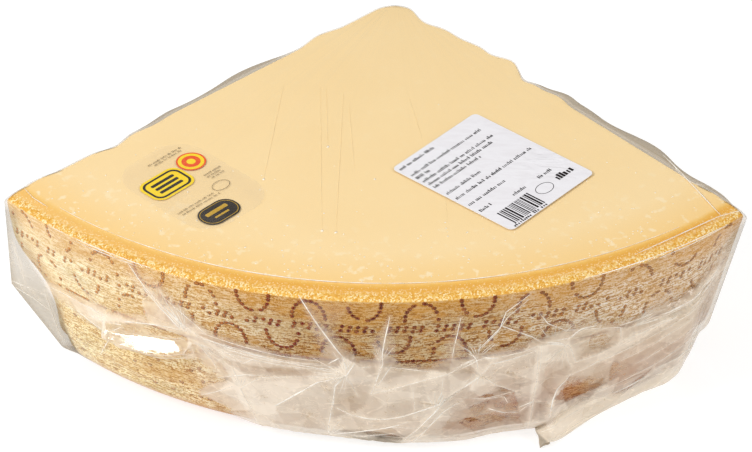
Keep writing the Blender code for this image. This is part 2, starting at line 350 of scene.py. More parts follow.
def wheel_coordinates(add):
    """Metres along the rind, metres up, metres from the axis, read from Object coordinates."""
    place = add("TexCoord", out="Object")
    centred = add("VectorMath", [place, (0.0, AXIS_Y, 0.0)], operation="SUBTRACT")
    x, y, height = add("SeparateXYZ", [centred], out=None)
    back = add("Math", [y, -1.0], operation="MULTIPLY")
    angle = add("Math", [x, back], operation="ARCTAN2")
    along = add("Math", [angle, WHEEL_RADIUS], operation="MULTIPLY")
    level = add("VectorMath", [centred, (1.0, 1.0, 0.0)], operation="MULTIPLY")
    radius = add("VectorMath", [level], operation="LENGTH", out="Value")
    return add("CombineXYZ", [along, height, radius]), along, height, place


def drawn_out(add, wall, stretch, **noise_inputs):
    """Noise drawn out on the wall. stretch says how fine it is along the rind and up it."""
    place = add("VectorMath", [wall, (*stretch, 1.0)], operation="MULTIPLY")
    return add("TexNoise", {"Vector": place, "Scale": 1.0, **noise_inputs})


def layered(add, colour, layers):
    """Lays (share, colour) layers over a colour. A third item names a way of blending."""
    for share, tone, *way in layers:
        blend = {"blend_type": way[0]} if way else {}
        colour = add("Mix", {0: share, 6: colour, 7: tone}, out=2, data_type="RGBA", **blend)
    return colour


# Aged hard cheese, cut with a wire and a knife: waxy and fine grained, so almost no gloss of its
# own, and a dry rind that was brushed and oiled.
cheese_surface, add, shader = new_material("aged hard cheese, knife cut, with brushed rind")
wall, along, height, place = wheel_coordinates(add)
depth = add("Attribute", out="Fac", attribute_name="rind_depth")
wobble = add("TexNoise", {"Vector": place, "Scale": 260.0, "Detail": 3.0})
wobbled = add("Math", [wobble, 1.6, depth], operation="MULTIPLY_ADD")
shifted = add("Math", [wobbled, 0.8], operation="SUBTRACT")

# paste, deeper in colour towards the rim, with soft pale blotches round buried crystals
far = add("MapRange", [depth, 11.0, 32.0])
blotches = add("TexNoise", {"Vector": place, "Scale": 230.0, "Detail": 2.0})
pale = add("MapRange", [blotches, 0.585, 0.68, 0.0, 0.85])
rimward = add("MapRange", [depth, 12.0, 55.0, 1.0, 0.10])
pale = add("Math", [pale, rimward], operation="MULTIPLY")
cut_flat = add("MapRange", [height, TOP - 0.003, TOP - 0.001, 0.15, 1.0])
pale = add("Math", [pale, cut_flat], operation="MULTIPLY")
clouds = add("TexNoise", {"Vector": place, "Scale": 22.0, "Detail": 4.0})
cloudy = add("MapRange", [clouds, 0.35, 0.65, 0.0, 0.16])
paste = layered(add, PASTE_NEAR_RIM, [(far, PASTE), (pale, "#fdebc4"), (cloudy, "#f3cf8e")])

# golden band under the rind, floured with pale specks towards it
band_place = add("MapRange", [shifted, 0.0, 14.0])
band_stops = [(0.0, CRUMB_YELLOW), (0.14, GOLD_LIGHT), (0.30, GOLD), (0.52, GOLD), (0.72, GOLD_LIGHT)]
band = add("ValToRGB", [band_place], stops=band_stops)
lighter = add("MapRange", [along, -0.040, -0.150, 0.0, 0.40])
flour = add("TexNoise", {"Vector": place, "Scale": 1100.0, "Detail": 2.0})
floury = add("MapRange", [depth, 9.5, 3.5, 0.0, 0.16])
floury = add("Math", [flour, floury], operation="ADD")
floury = add("MapRange", [floury, 0.64, 0.74, 0.0, 0.65])
inner = add("MapRange", [shifted, 9.2, 11.4])
inside = layered(add, band, [(lighter, "#fad488"), (floury, "#fce6b6"), (inner, paste)])

# rind: long level threads about 0.6 mm apart with short flecks between them
threads = drawn_out(add, wall, (160.0, 1500.0), Detail=2.0)
flecks = drawn_out(add, wall, (470.0, 1650.0), Detail=2.0, Roughness=0.6)
streaks = add("Mix", {0: 0.55, 2: threads, 3: flecks})
grit = add("TexNoise", {"Vector": place, "Scale": 1400.0, "Detail": 1.0})
streaks = add("Mix", {0: 0.28, 2: streaks, 3: grit})
streak_stops = [(0.44, "#9c6014"), (0.478, "#d8b274"), (0.515, "#f4e5c6"), (0.548, "#ffffff")]
rind = add("ValToRGB", [streaks], stops=streak_stops)
# paler towards the left, most of all higher up: painted light from the key lamp on the left
painted_left_light = add("MapRange", [along, -0.040, -0.160, 0.0, 0.62])
higher_up = add("MapRange", [height, 0.036, 0.056, 0.30, 1.0])
painted_left_light = add("Math", [painted_left_light, higher_up], operation="MULTIPLY")
# oiled browner towards the middle, with warmer and greyer patches
patches = drawn_out(add, wall, (26.0, 60.0), Detail=3.0)
drift = add("Math", [patches, 0.06, along], operation="MULTIPLY_ADD")
across = add("MapRange", [drift, -0.147, 0.207])
oil_left = [(0.05, "#ffffff"), (0.28, "#f6ebd6"), (0.42, "#c4aa80")]
oil = add("ValToRGB", [across], stops=oil_left + [(0.60, "#c8b492"), (0.84, "#ece8e2")])
warm = add("MapRange", [patches, 0.50, 0.68, 0.0, 0.42])
grey = add("MapRange", [patches, 0.48, 0.32, 0.0, 0.40])
# the streaks grow faint towards the right end
faint = add("MapRange", [along, 0.050, 0.130, 0.0, 0.34])
# oil that soaked in as small level patches, most of them in the middle
soaked = drawn_out(add, wall, (150.0, 420.0), Detail=4.0)
soaked = add("MapRange", [soaked, 0.50, 0.62, 0.0, 0.60])
from_middle = add("Math", [along], operation="ABSOLUTE")
most = add("MapRange", [from_middle, 0.050, 0.130, 1.0, 0.30])
soaked = add("Math", [soaked, most], operation="MULTIPLY")
# damp and reddish brown near the foot on the right
damp = add("MapRange", [drift, 0.040, 0.085])
low = add("MapRange", [height, 0.050, 0.030, 0.0, 0.85])
damp = add("Math", [damp, low], operation="MULTIPLY")
# more golden towards the left end, most of all low down
golden = add("MapRange", [along, -0.050, -0.110])
lower = add("MapRange", [height, 0.066, 0.040, 0.4, 1.0])
golden = add("Math", [golden, lower], operation="MULTIPLY")
# a band along the foot, orange at the left end and brown at the right, and dark in the middle: painted
# shade of the gap under the film where the foot rounds off
foot_tone_and_shade_stops = [(0.28, "#b8742a"), (0.42, "#76543a"), (0.56, "#76543a"), (0.66, "#a87a4c")]
foot_tone_and_shade = add("ValToRGB", [across], stops=foot_tone_and_shade_stops)
footed = add("MapRange", [height, 0.013, 0.005, 0.0, 0.80])
# a buttery edge just under the cut, and dry crumbs where the cut broke the rind's edge: pale and
# yellow grains about 0.8 mm wide
crumbs = add("TexNoise", {"Vector": place, "Scale": 1300.0, "Detail": 2.0})
grains = add("TexVoronoi", {"Vector": place, "Scale": 1500.0}, out="Color")
crumb_stops = [(0.22, "#d69414"), (0.42, "#e2a834"), (0.60, "#ebc266"), (0.78, "#f8e4b0")]
crumb = add("ValToRGB", [grains], stops=crumb_stops)
ragged = add("Math", [wobble, 0.007, height], operation="MULTIPLY_ADD")
crumby = add("MapRange", [ragged, TOP + 0.0016, TOP + 0.0036])
buttery = add("MapRange", [ragged, TOP - 0.0130, TOP - 0.0035, 0.0, 0.42])
rind_layers = [
    (painted_left_light, "#faebc4"),
    (1.0, oil, "MULTIPLY"),
    (warm, RIND_ORANGE),
    (faint, "#d4b086"),
    (soaked, "#b88028"),
    (damp, "#d29a50", "MULTIPLY"),
    (grey, RIND_GREY),
    (golden, "#fff9d8", "MULTIPLY"),
    (footed, foot_tone_and_shade),
    (buttery, "#cd902c"),
    (crumby, crumb),
]
rind = layered(add, rind, rind_layers)
rim_crumbs = add("MapRange", [shifted, 5.6, 3.0, 0.0, 0.9])
outside = add("MapRange", [depth, 0.5, 0.1])
colour = layered(add, inside, [(rim_crumbs, crumb), (outside, rind)])
dull = add("MapRange", [outside, 0.0, 1.0, 0.42, 0.80])
relief = add("Mix", {0: outside, 2: wobble, 3: streaks})
relief = add("Mix", {0: crumby, 2: relief, 3: crumbs})
rough = add("MapRange", [outside, 0.0, 1.0, 0.08, 0.22])
rough = add("Mix", {0: crumby, 2: rough, 3: 0.08})
lifted = add("Bump", {"Strength": rough, "Distance": 0.0006, "Height": relief})
set_inputs(shader, {"Base Color": colour, "Roughness": dull, "Normal": lifted})
set_inputs(shader, {"IOR": 1.45, "Specular IOR Level": 0.20})


def polar(points):
    """Angles round the wheel's axis, and distances from it."""
    angles = np.arctan2(points[:, 0], AXIS_Y - points[:, 1])
    return angles, np.hypot(points[:, 0], points[:, 1] - AXIS_Y)


CHEESE_TOP = TOP - SKIN
spacing = body_spacing(CHEESE_COLUMNS, CHEESE_CUT_COLUMNS)
loops = body_loops(spacing, cheese_front, cheese_cut, CHEESE_TOP, SKIN, CHEESE_LEVEL_STEP)
cheese, cheese_points = body_piece("cheese", loops, cheese_surface)
around, from_axis = polar(cheese_points)
surface = np.array([cheese_front(angle, z) for angle, z in zip(around, cheese_points[:, 2])])
add_values(cheese, "rind_depth", 1000 * np.maximum(surface - from_axis, 0.0))
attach(cheese, "root")
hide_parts("sealed_cheese")

# ---------------------------------------------------------------------------------------------
# The pin-dot marks: short dark pits that the ridged band of the mould pressed into the young
# rind. They stand in two bands, each two rows of dotted arches with short bars between them and
# a plain dotted line below.
# ---------------------------------------------------------------------------------------------
MARK_PITCH = math.radians(6.1)
ARCH_SIZE = (0.0142, 0.0094)
BAR_PITCH = 0.0034            # from one short bar to the next
BARS_IN_GROUP = 5
BAR_HALF = 0.0012
BAR_LEAN = 0.0004
ROW_DROP = 0.0098             # from a row of arches down to the bars, and on to the next arches
LINE_DROP = 0.0292            # from the upper arches down to the dotted line
PIT_SPACING = 0.0024
PIT_SIZE = (0.00220, 0.00142, 0.00034)
STAIN_SIZE = (0.0030, 0.0023, 0.00010)
PIT_MISSING = (0.08, 0.70)    # share of pits worn away, in the upper and in the lower band
UPPER_BAND = 0.0872           # height of the upper band's first row
BAND_DROP = 0.0395            # from one band of marks down to the next


def along_path(path, spacing):
    """Evenly spaced points along a path, each with the path's direction there."""
    path = np.array(path, dtype=float)
    runs = np.linalg.norm(np.diff(path, axis=0), axis=1)
    reach = np.concatenate([[0.0], np.cumsum(runs)])
    wanted = np.arange(0.0, reach[-1] + spacing / 4, spacing)
    places = np.stack([np.interp(wanted, reach, path[:, axis]) for axis in range(path.shape[1])], 1)
    return places, np.gradient(places, axis=0)


def arch(width, height):
    turns = np.linspace(0.0, math.pi, 25)
    return [(-width / 2 * math.cos(turn), height * (math.sin(turn) - 0.5)) for turn in turns]


def band_paths(top_height):
    """The dotted paths of one band, as (metres along the rind, height)."""
    paths = []
    upright = arch(*ARCH_SIZE)
    hanging = [(x, -y) for x, y in upright]
    for count in range(-8, 9):
        middle = count * MARK_PITCH * WHEEL_RADIUS
        half_on = middle + MARK_PITCH * WHEEL_RADIUS / 2
        row = upright if count % 2 else hanging
        paths.append([(middle + x, top_height + y) for x, y in row])
        paths.append([(half_on + x, top_height - 2 * ROW_DROP + y) for x, y in row])
    reach = HALF_ANGLE * WHEEL_RADIUS
    level = top_height - ROW_DROP
    for count in range(int(2 * reach / BAR_PITCH)):
        if count % (BARS_IN_GROUP + 1):
            place = count * BAR_PITCH - reach
            paths.append([(place - BAR_LEAN, level - BAR_HALF), (place + BAR_LEAN, level + BAR_HALF)])
    paths.append([(-reach, top_height - LINE_DROP), (reach, top_height - LINE_DROP)])
    return paths


def rind_place(arc, height, lift):
    """A point just outside the cheese's rind, and the direction out of it."""
    angle = arc / WHEEL_RADIUS
    radius = cheese_front(angle, height) + lift
    away = np.array([math.sin(angle), -math.cos(angle), 0.0])
    return away * radius + np.array([0.0, AXIS_Y, height]), away


def new_tree(name, **numbers):
    """A geometry node tree with Geometry, Material and number inputs, and its adding function."""
    tree = bpy.data.node_groups.new(name, "GeometryNodeTree")
    for key, kind in {"Geometry": "Geometry", "Material": "Material", **numbers}.items():
        tree.interface.new_socket(key, in_out="INPUT", socket_type="NodeSocket" + kind)
    tree.interface.new_socket("Geometry", in_out="OUTPUT", socket_type="NodeSocketGeometry")
    add = functools.partial(node, tree)
    return tree, add, add("NodeGroupInput", out=None)


def dress(add, start, shapes):
    """Ends a tree: makes the shapes real and smooth, and gives them the Material input."""
    real = add("GeometryNodeRealizeInstances", [shapes])
    smooth = add("GeometryNodeSetShadeSmooth", [real])
    dressed = add("GeometryNodeSetMaterial", {0: smooth, "Material": start["Material"]})
    add("NodeGroupOutput", [dressed], out=None)


def stamp_tree(name, primitive, sizes):
    """Geometry nodes that set one small shape on each point, turned and sized by attributes."""
    tree, add, start = new_tree(name, Width="Float")
    shape = add(primitive, sizes)
    out, way, size = (
        add("GeometryNodeInputNamedAttribute", [key], data_type="FLOAT_VECTOR")
        for key in ("out", "way", "size")
    )
    turn = add("FunctionNodeAxesToRotation", [out, way], primary_axis="Z", secondary_axis="X")
    scaled = add("VectorMath", {0: size, "Scale": start["Width"]}, operation="SCALE")
    instances = {"Points": start[0], "Instance": shape, "Rotation": turn, "Scale": scaled}
    dress(add, start, add("GeometryNodeInstanceOnPoints", instances))
    return tree


def grow(name, points, vectors, tree, values, edges=()):
    """Runs a node tree on a few points with their attributes, and keeps the plain mesh."""
    mesh = bpy.data.meshes.new(name)
    mesh.from_pydata([tuple(point) for point in points], list(edges), [])
    for key, rows in vectors.items():
        rows = np.asarray(rows, dtype=np.float32)
        kind = "FLOAT_VECTOR" if rows.ndim == 2 else "FLOAT"
        layer = mesh.attributes.new(key, kind, "POINT")
        layer.data.foreach_set("vector" if rows.ndim == 2 else "value", rows.ravel())
    piece = bpy.data.objects.new(name, mesh)
    bpy.context.scene.collection.objects.link(piece)
    modifier = piece.modifiers.new(name, "NODES")
    modifier.node_group = tree
    for item in tree.interface.items_tree:
        if item.in_out == "INPUT" and item.name in values:
            modifier[item.identifier] = values[item.name]
    grown = piece.evaluated_get(bpy.context.evaluated_depsgraph_get())
    plain = bpy.data.meshes.new_from_object(grown)
    piece.modifiers.remove(modifier)
    piece.data = plain
    return piece


# Old pits in cheese rind: mould dust and oil have made them dark red-brown, lighter at the edge.
pit_surface, add, shader = new_material("pressed pits in cheese rind, darkened with age")
_, along, height, place = wheel_coordinates(add)
tone = add("TexNoise", {"Vector": place, "Scale": 300.0, "Detail": 2.0})
pit_place = add("MapRange", [along, -0.177, 0.177])
pit_left = [(0.24, "#cc8c44"), (0.38, "#7c2000"), (0.52, "#500800")]
pit_colour = add("ValToRGB", [pit_place], stops=pit_left + [(0.66, "#702c04"), (0.80, "#a47848")])
worn = add("MapRange", [tone, 0.45, 0.65, 0.0, 0.5])
low = add("MapRange", [height, 0.053, 0.046, 0.0, 0.6])
faded = layered(add, pit_colour, [(worn, "#b4732e"), (low, "#b8936a")])
set_inputs(shader, {"Base Color": faded, "Roughness": 0.75, "Specular IOR Level": 0.08})

chance = random.Random(11)
pits, outs, ways, sizes = [], [], [], []
for band in range(2):
    for path in band_paths(UPPER_BAND - band * BAND_DROP):
        places, runs = along_path(path, PIT_SPACING)
        for (arc, height), run in zip(places, runs):
            outside_piece = abs(arc) > (HALF_ANGLE - 0.012) * WHEEL_RADIUS
            covered = band == 1 and arc > -0.055
            worn_away = PIT_MISSING[band] + 0.25 * float(smooth_step(abs(arc), 0.06, 0.15))
            if outside_piece or covered or chance.random() < worn_away:
                continue
            point, away = rind_place(arc, height + chance.uniform(-2e-4, 2e-4), 0.00004)
            level = np.array([-away[1], away[0], 0.0])
            pits.append(point)
            outs.append(away)
            ways.append(level * run[0] + np.array([0.0, 0.0, run[1]]))
            sizes.append(np.array(PIT_SIZE) * chance.uniform(0.75, 1.1) / 2)
pit_tree = stamp_tree("pit stamping", "GeometryNodeMeshIcoSphere", {0: 1.0, 1: 1})
pit_vectors = {"out": outs, "way": ways, "size": sizes}
marks = grow("rind_marks", pits, pit_vectors, pit_tree, {"Material": pit_surface, "Width": 1.0})
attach(marks, "root")

# Rind stained brown by oil and dust round each pit: a thin tone with no edge of its own.
stain_surface, add, shader = new_material("oil stain in cheese rind")
_, along, _, place = wheel_coordinates(add)
from_middle = add("Math", [along], operation="ABSOLUTE")
fading = add("MapRange", [from_middle, 0.050, 0.100, 1.0, 0.40])
tone = add("TexNoise", {"Vector": place, "Scale": 700.0, "Detail": 2.0})
cover = add("MapRange", [tone, 0.35, 0.65, 0.22, 0.82])
cover = add("Math", [cover, fading], operation="MULTIPLY")
stained = add("ValToRGB", [tone], stops=[(0.40, "#a04404"), (0.65, "#bd6a16")])
set_inputs(shader, {"Base Color": stained, "Alpha": cover, "Roughness": 0.8})
stain_vectors = {"out": outs, "way": ways, "size": [np.array(STAIN_SIZE) / 2] * len(pits)}
stains = grow("rind_stains", pits, stain_vectors, pit_tree, {"Material": stain_surface, "Width": 1.0})
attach(stains, "root")

# ---------------------------------------------------------------------------------------------
# The crystals: small white grains of amino acid that form in aged paste, most of them near the
# rind. The knife dragged a few of them over the cut, and each left a faint line in the paste.
# ---------------------------------------------------------------------------------------------
CRYSTAL_COUNT = 230
CRYSTAL_SIZE = 0.00046
CRYSTAL_SPREAD = 0.022        # how fast they thin out from the rim inwards
CRYSTAL_REACH = 0.15
CRYSTAL_HEIGHT = 0.00012
DRAGGED_SIZE = (0.0010, 0.0007, 0.00022)

# Dragged crystals: where each stopped and where its line begins, from the wheel's axis in mm
DRAGS = [
    ((-21, -178), (-30, -68)),
    ((-49, -142), (-46, -69)),
    ((-23, -117), (-27, -71)),
    ((-15, -179), (-19, -76)),
    ((18, -110), (9, -73)),
    ((-10, -135), (-16, -84)),
    ((32, -170), (27, -118)),
]
DRAG_WIDTH = 0.00016


def mottled_material(name, scale, stops, inputs):
    """A material whose colour is soft noise, with its shader's other inputs by name."""
    made, add, shader = new_material(name)
    place = add("TexCoord", out="Object")
    tone = add("TexNoise", {"Vector": place, "Scale": scale, "Detail": 2.0})
    set_inputs(shader, {"Base Color": add("ValToRGB", [tone], stops=stops), **inputs})
    return made


# Tyrosine crystals: chalk white, dry and rough.
white = [(0.35, "#fbeccb"), (0.60, "#fffaf0")]
crystal_surface = mottled_material("white crystals in aged cheese", 1400.0, white, {"Roughness": 0.7})

chance = random.Random(5)
crystals, sizes = [], []
while len(crystals) < CRYSTAL_COUNT:
    angle = chance.uniform(-0.93, 0.93) * HALF_ANGLE
    inward = min(chance.expovariate(1 / CRYSTAL_SPREAD), CRYSTAL_REACH)
    radius = WHEEL_RADIUS - 0.0125 - inward
    crystals.append((radius * math.sin(angle), AXIS_Y - radius * math.cos(angle), CHEESE_TOP))
    size = CRYSTAL_SIZE * chance.uniform(0.45, 1.0) * (1.35 if chance.random() < 0.12 else 1.0)
    sizes.append((size * chance.uniform(0.8, 1.5), size * chance.uniform(0.7, 1.2), CRYSTAL_HEIGHT))
for stop, _ in DRAGS[:4]:
    crystals.append((stop[0] / 1000, AXIS_Y + stop[1] / 1000, CHEESE_TOP))
    sizes.append(DRAGGED_SIZE)
outs = [(0.0, 0.0, 1.0)] * len(crystals)
ways = [(math.cos(turn), math.sin(turn), 0.0) for turn in (chance.uniform(0, 6.28) for _ in crystals)]
grain_tree = stamp_tree("crystal setting", "GeometryNodeMeshIcoSphere", {0: 1.0, 1: 1})
grain_vectors = {"out": outs, "way": ways, "size": sizes}
grain_values = {"Material": crystal_surface, "Width": 1.0}
crystal_piece = grow("crystals", crystals, grain_vectors, grain_tree, grain_values)
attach(crystal_piece, "root")


def ridge_tree(name, flatness):
    """Geometry nodes that run a thin low ridge along each path, as wide as its half_width says."""
    tree, add, start = new_tree(name, Sides="Int")
    curve = add("GeometryNodeMeshToCurve", [start[0]])
    width = add("GeometryNodeInputNamedAttribute", ["half_width"], data_type="FLOAT")
    ring = add("GeometryNodeCurvePrimitiveCircle", {"Resolution": start["Sides"]})
    squeezed = add("GeometryNodeTransform", {0: ring, "Scale": (flatness, 1.0, 1.0)})
    swept = {"Curve": curve, "Profile Curve": squeezed, "Scale": width, "Fill Caps": True}
    dress(add, start, add("GeometryNodeCurveToMesh", swept))
    return tree


def chains(paths, spacing, place_of, half_widths):
    """Points, edges and tapering half widths for ridges along several paths."""
    points, edges, widths = [], [], []
    for path, half_width in zip(paths, half_widths):
        places, _ = along_path(path, spacing)
        first = len(points)
        count = len(places)
        for step, spot in enumerate(places):
            points.append(place_of(spot))
            taper = math.sin(math.pi * mix(0.06, 0.94, step / max(count - 1, 1))) ** 0.5
            widths.append(half_width * taper)
        edges += [(first + step, first + step + 1) for step in range(count - 1)]
    return points, edges, widths


# Paste pressed flat by a dragged crystal: a shade lighter than the paste beside it.
drag_stops = [(0.40, "#fbe6b8"), (0.65, "#fff3d2")]
drag_surface = mottled_material("line dragged in cheese paste", 120.0, drag_stops, {"Roughness": 0.45})

drag_paths = [[(x / 1000, AXIS_Y + y / 1000) for x, y in ends] for ends in DRAGS]
drag_points, drag_edges, drag_widths = chains(
    drag_paths, 0.004, lambda spot: (spot[0], spot[1], CHEESE_TOP + 0.00002), [DRAG_WIDTH] * len(DRAGS)
)
drag_tree = ridge_tree("drag lines", 0.25)
drag_values = {"Material": drag_surface, "Sides": 6}
drags = grow("drag_lines", drag_points, {"half_width": drag_widths}, drag_tree, drag_values, drag_edges)
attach(drags, "root")

# ---------------------------------------------------------------------------------------------
# The film: a clear polyethylene bag drawn tight over the piece by vacuum. It lies on the top and
# the upper rind and spans the bites of the torn edges. Over the lower rind it stands off in flat
# facets between folds, and looks milky there.
# ---------------------------------------------------------------------------------------------
PUFF = 0.0009                 # soft swelling of the facets
PUFF_ANGLE = math.radians(5)
PUFF_HEIGHT = 0.018
CRUSH = 0.0008
LOOSE_FROM = 0.002            # film that stands off this far is free to swell and crush
FOLD_WANDER = 0.45            # mm by which the folds stray from straight lines
FOLD_WANDER_SIZE = 14.0
WEB_DROP = 0.0012
WEB_DEPTH = 0.040
LEFT_FILM_WEBS = [(0.090, 0.0048, 0.038), (0.135, 0.0030, 0.034)]
RIGHT_FILM_WEBS = [(0.120, 0.0050, 0.045), (0.163, 0.0068, 0.032), (0.200, 0.0034, 0.025)]

# The folds and hollows that the facets hang between, as chains of places: angle in degrees,
# height in mm, and how far the film stands off the rind there in mm. The heights are where the
# folds show against the rind from in front and above, so a fold sits higher by SEEN_DROP for each
# mm that it stands off.
SEEN_DROP = 0.72
FOLD_CHAINS = [
    # where the film starts to stand off, from left to right
    [(-46, 60, 0), (-40, 58, 0), (-34, 59.5, 0), (-29, 60, 0.2), (-26, 64, 0), (-25.8, 74, 0),
     (-28, 88, 0)],
    [(-23, 90, 0), (-20.5, 77, 0), (-17.6, 66, 0), (-12, 62.5, 0), (-8, 60.5, 0), (-5.2, 62, 0),
     (-6.2, 76, 0)],
    [(-3.2, 76, 0), (-1.2, 62, 0), (0.6, 60.5, 0), (0.7, 72, 0)],
    [(3.4, 72, 0), (3.6, 59, 0), (7.4, 58, 0), (8.2, 70, 0)],
    [(11, 72, 0), (11, 61, 0), (14, 61.5, 0), (18, 64.5, 0), (21.5, 66, 0), (28, 64, 0), (33, 64.5, 0),
     (37, 66.5, 0), (40, 71, 0), (42.5, 78, 0)],
    # the shelf on the left: its upper edge, the fold in its middle, its lip and what lies under it
    [(-40, 54.5, 0.6), (-37, 54.5, 1.0), (-34, 55, 1.6), (-31, 55.5, 2.0), (-28, 56.5, 3.4),
     (-25, 59.5, 2.6),
     (-22.5, 61.5, 2.2), (-20, 62, 2.4)],
    [(-33, 51.5, 2.2), (-31.3, 50.5, 3.0), (-31, 42.2, 1.6)],
    [(-39.5, 50, 0.4), (-35.5, 48.5, 1.4), (-33.5, 45.7, 1.8), (-31, 42.2, 1.6), (-29.3, 41.4, 2.2)],
    [(-30.3, 42.4, 9.8), (-28.4, 40.8, 11.2), (-25, 41.6, 10.8), (-22.2, 44.6, 9.0), (-20.4, 48, 7.0),
     (-19.6, 56, 3.0)],
    [(-30.4, 47.5, 6.6), (-28, 49.2, 5.8), (-25, 52.6, 3.6), (-22, 55, 2.2), (-20.8, 57, 1.8)],
    [(-46, 46, 0), (-40, 45, 0), (-36, 43.5, 0), (-33, 40, 0), (-30, 37, 0), (-27, 38.5, 0), (-24, 39, 0),
     (-21.4, 43, 0.2), (-19.6, 46, 0.8), (-18.5, 41.5, 1.0), (-17.5, 36.5, 0.6), (-15.8, 38.5, 1.2),
     (-17.5, 28, 0.4), (-20.5, 20, 0), (-17.5, 12, 0), (-16.5, 0, 0.4)],
    # the pinched run down from the rim at the left, and its tail along the level folds
    [(-26.8, 93, 0.3), (-24.7, 82, 1.2), (-22.7, 74, 2.0), (-20.8, 66.5, 2.3), (-18.6, 61, 2.4),
     (-15.5, 58, 2.0), (-12.5, 56, 2.2), (-9, 54.6, 2.3), (-5, 54.6, 2.2), (-3, 54.5, 2.6)],
    [(-19.6, 56, 3.0), (-15.6, 54, 1.8), (-12, 52.6, 1.7), (-8, 52, 1.7), (-4.5, 52.2, 2.0)],
    # folds that fan out from the knot left of the middle
    [(-6.8, 94, 0.2), (-5.0, 79, 1.2), (-3.7, 69, 1.8), (-2.5, 61, 2.4), (-2.1, 50, 4.4)],
    [(-2.1, 50, 4.4), (-5, 45, 3.6), (-8, 35.5, 3.2), (-10.6, 25.7, 3.4)],
    [(-2.1, 50, 4.4), (-7, 47, 2.4), (-12, 42.5, 2.6), (-14.5, 33, 2.6), (-13.5, 18, 2.4), (-13, 2, 2.2)],
    [(-2.1, 50, 4.4), (-3.4, 43, 2.8), (-3.9, 34, 2.5), (-4.5, 20, 2.8), (-4.9, 9, 2.6)],
    [(-1.2, 57.5, 2.4), (-2.1, 50, 4.4)],
    # the run right of the middle
    [(2.7, 86, 0.3), (2.1, 73, 1.2), (1.8, 64, 2.0), (1.5, 56, 2.7), (1.2, 49, 3.0), (0.9, 44, 2.8),
     (0.3, 38, 2.4)],
    # the pale fold that rises to the right, and the slack line above it
    [(0.3, 38, 2.4), (3, 42, 3.0), (6, 46.5, 3.1), (9, 50, 2.6), (11.2, 55.5, 2.0)],
    [(1.5, 56, 2.7), (4, 53.5, 0.9), (7, 53.5, 0.9), (9, 50, 2.6)],
    # long folds that sweep down to the foot
    [(11.2, 42, 2.8), (8, 31.5, 3.4), (6, 27.5, 3.2), (4, 24, 3.0), (2, 22.2, 3.0), (0, 22.3, 3.0),
     (-2, 24.5, 2.8),
     (-3.6, 28.5, 2.4)],
    [(12.5, 47, 3.2), (11.2, 42, 2.8), (9, 35.5, 3.6), (7.6, 26.5, 3.8), (5.6, 16, 3.6), (3.4, 5, 3.2)],
    [(-4.8, 9.3, 3.6), (-1, 13.5, 3.2), (2.5, 17, 3.0), (5.6, 16, 3.6)],
    [(10.3, 84, 0.3), (9.8, 70, 0.8), (9.3, 59, 1.4), (9, 50, 2.6)],
    # pleats, the grey hollow and the large facet right of them
    [(11.2, 55.5, 2.0), (13, 57.5, 2.6), (15, 57, 2.4), (17, 58, 2.2), (19.1, 60.5, 2.8)],
    [(13.6, 53.5, 3.0), (16.5, 55, 2.0), (18.6, 57.2, 2.4)],
    [(13.6, 53.5, 3.0), (12.5, 47, 3.2), (14.2, 40, 2.4), (16.5, 33.8, 2.0), (12.8, 31.8, 2.2),
     (9, 35.5, 3.6)],
    [(19.1, 60.5, 2.8), (19.2, 49, 3.0), (18.9, 38, 3.0), (18.7, 25, 3.2), (18.6, 9, 3.2)],
    [(13.6, 24.5, 2.0), (15.5, 20.8, 1.8), (17.2, 19.5, 2.0), (18.7, 25, 3.2)],
    # the seam's own fold and the pocket above it
    [(22.8, 37, 2.6), (21.6, 31, 2.8), (21, 24, 3.4), (20.8, 13, 3.8)],
    [(19.1, 60.5, 2.8), (21.2, 59.5, 3.2), (22.4, 55.8, 3.4), (23.4, 45, 2.6), (26, 46.5, 2.8),
     (28.6, 50.5, 3.2)],
    [(22.4, 61.3, 2.4), (23.8, 64.6, 1.8), (26, 63, 1.2), (28.6, 59, 1.6), (28.6, 50.5, 3.2)],
    # the bright bundle that runs up to the right corner
    [(29.5, 57, 2.0), (34.5, 58.6, 3.2), (38, 60.8, 3.4), (41.8, 67.5, 2.8)],
    [(30.6, 56, 1.6), (34.3, 56.6, 1.8), (37.2, 57.4, 2.0), (40.4, 63, 2.2)],
    [(30, 52.5, 2.8), (34.3, 54.2, 3.4), (37, 54.2, 3.6), (39, 58, 3.4), (41.4, 64, 3.0)],
    # the wide smooth part below it, and the hem
    [(28.6, 50.5, 3.2), (32, 51.5, 3.2), (36, 54, 3.4), (41, 63, 3.0)],
    [(22.8, 37, 2.0), (26, 41.5, 2.2), (30, 44.5, 3.0), (35, 49, 3.4), (40, 56, 3.4), (43, 62, 3.0)],
    [(25.5, 33.5, 1.0), (29, 37.5, 2.2), (33.5, 42, 3.2), (38, 48, 3.6), (43, 56, 3.2)],
    [(27.5, 28.5, 1.2), (31, 32.5, 2.6), (35.5, 37, 3.4), (40, 43, 3.8), (44, 49, 3.2)],
    [(26.5, 21, 1.6), (30, 24, 2.6), (34, 28, 3.2), (38, 33, 3.6), (42, 39, 3.6)],
    [(34, 24, 3.0), (36.6, 25.3, 3.6), (38, 27.6, 3.8), (39.4, 26, 3.6)],
    # the foot
    [(-13, 2, 2.2), (-9, 2, 2.6), (-4.8, 3, 3.0), (0, 0, 3.2), (4, 0, 3.2), (8, 1, 3.0), (13, 2, 3.0),
     (18.6, 3, 3.2)],
]
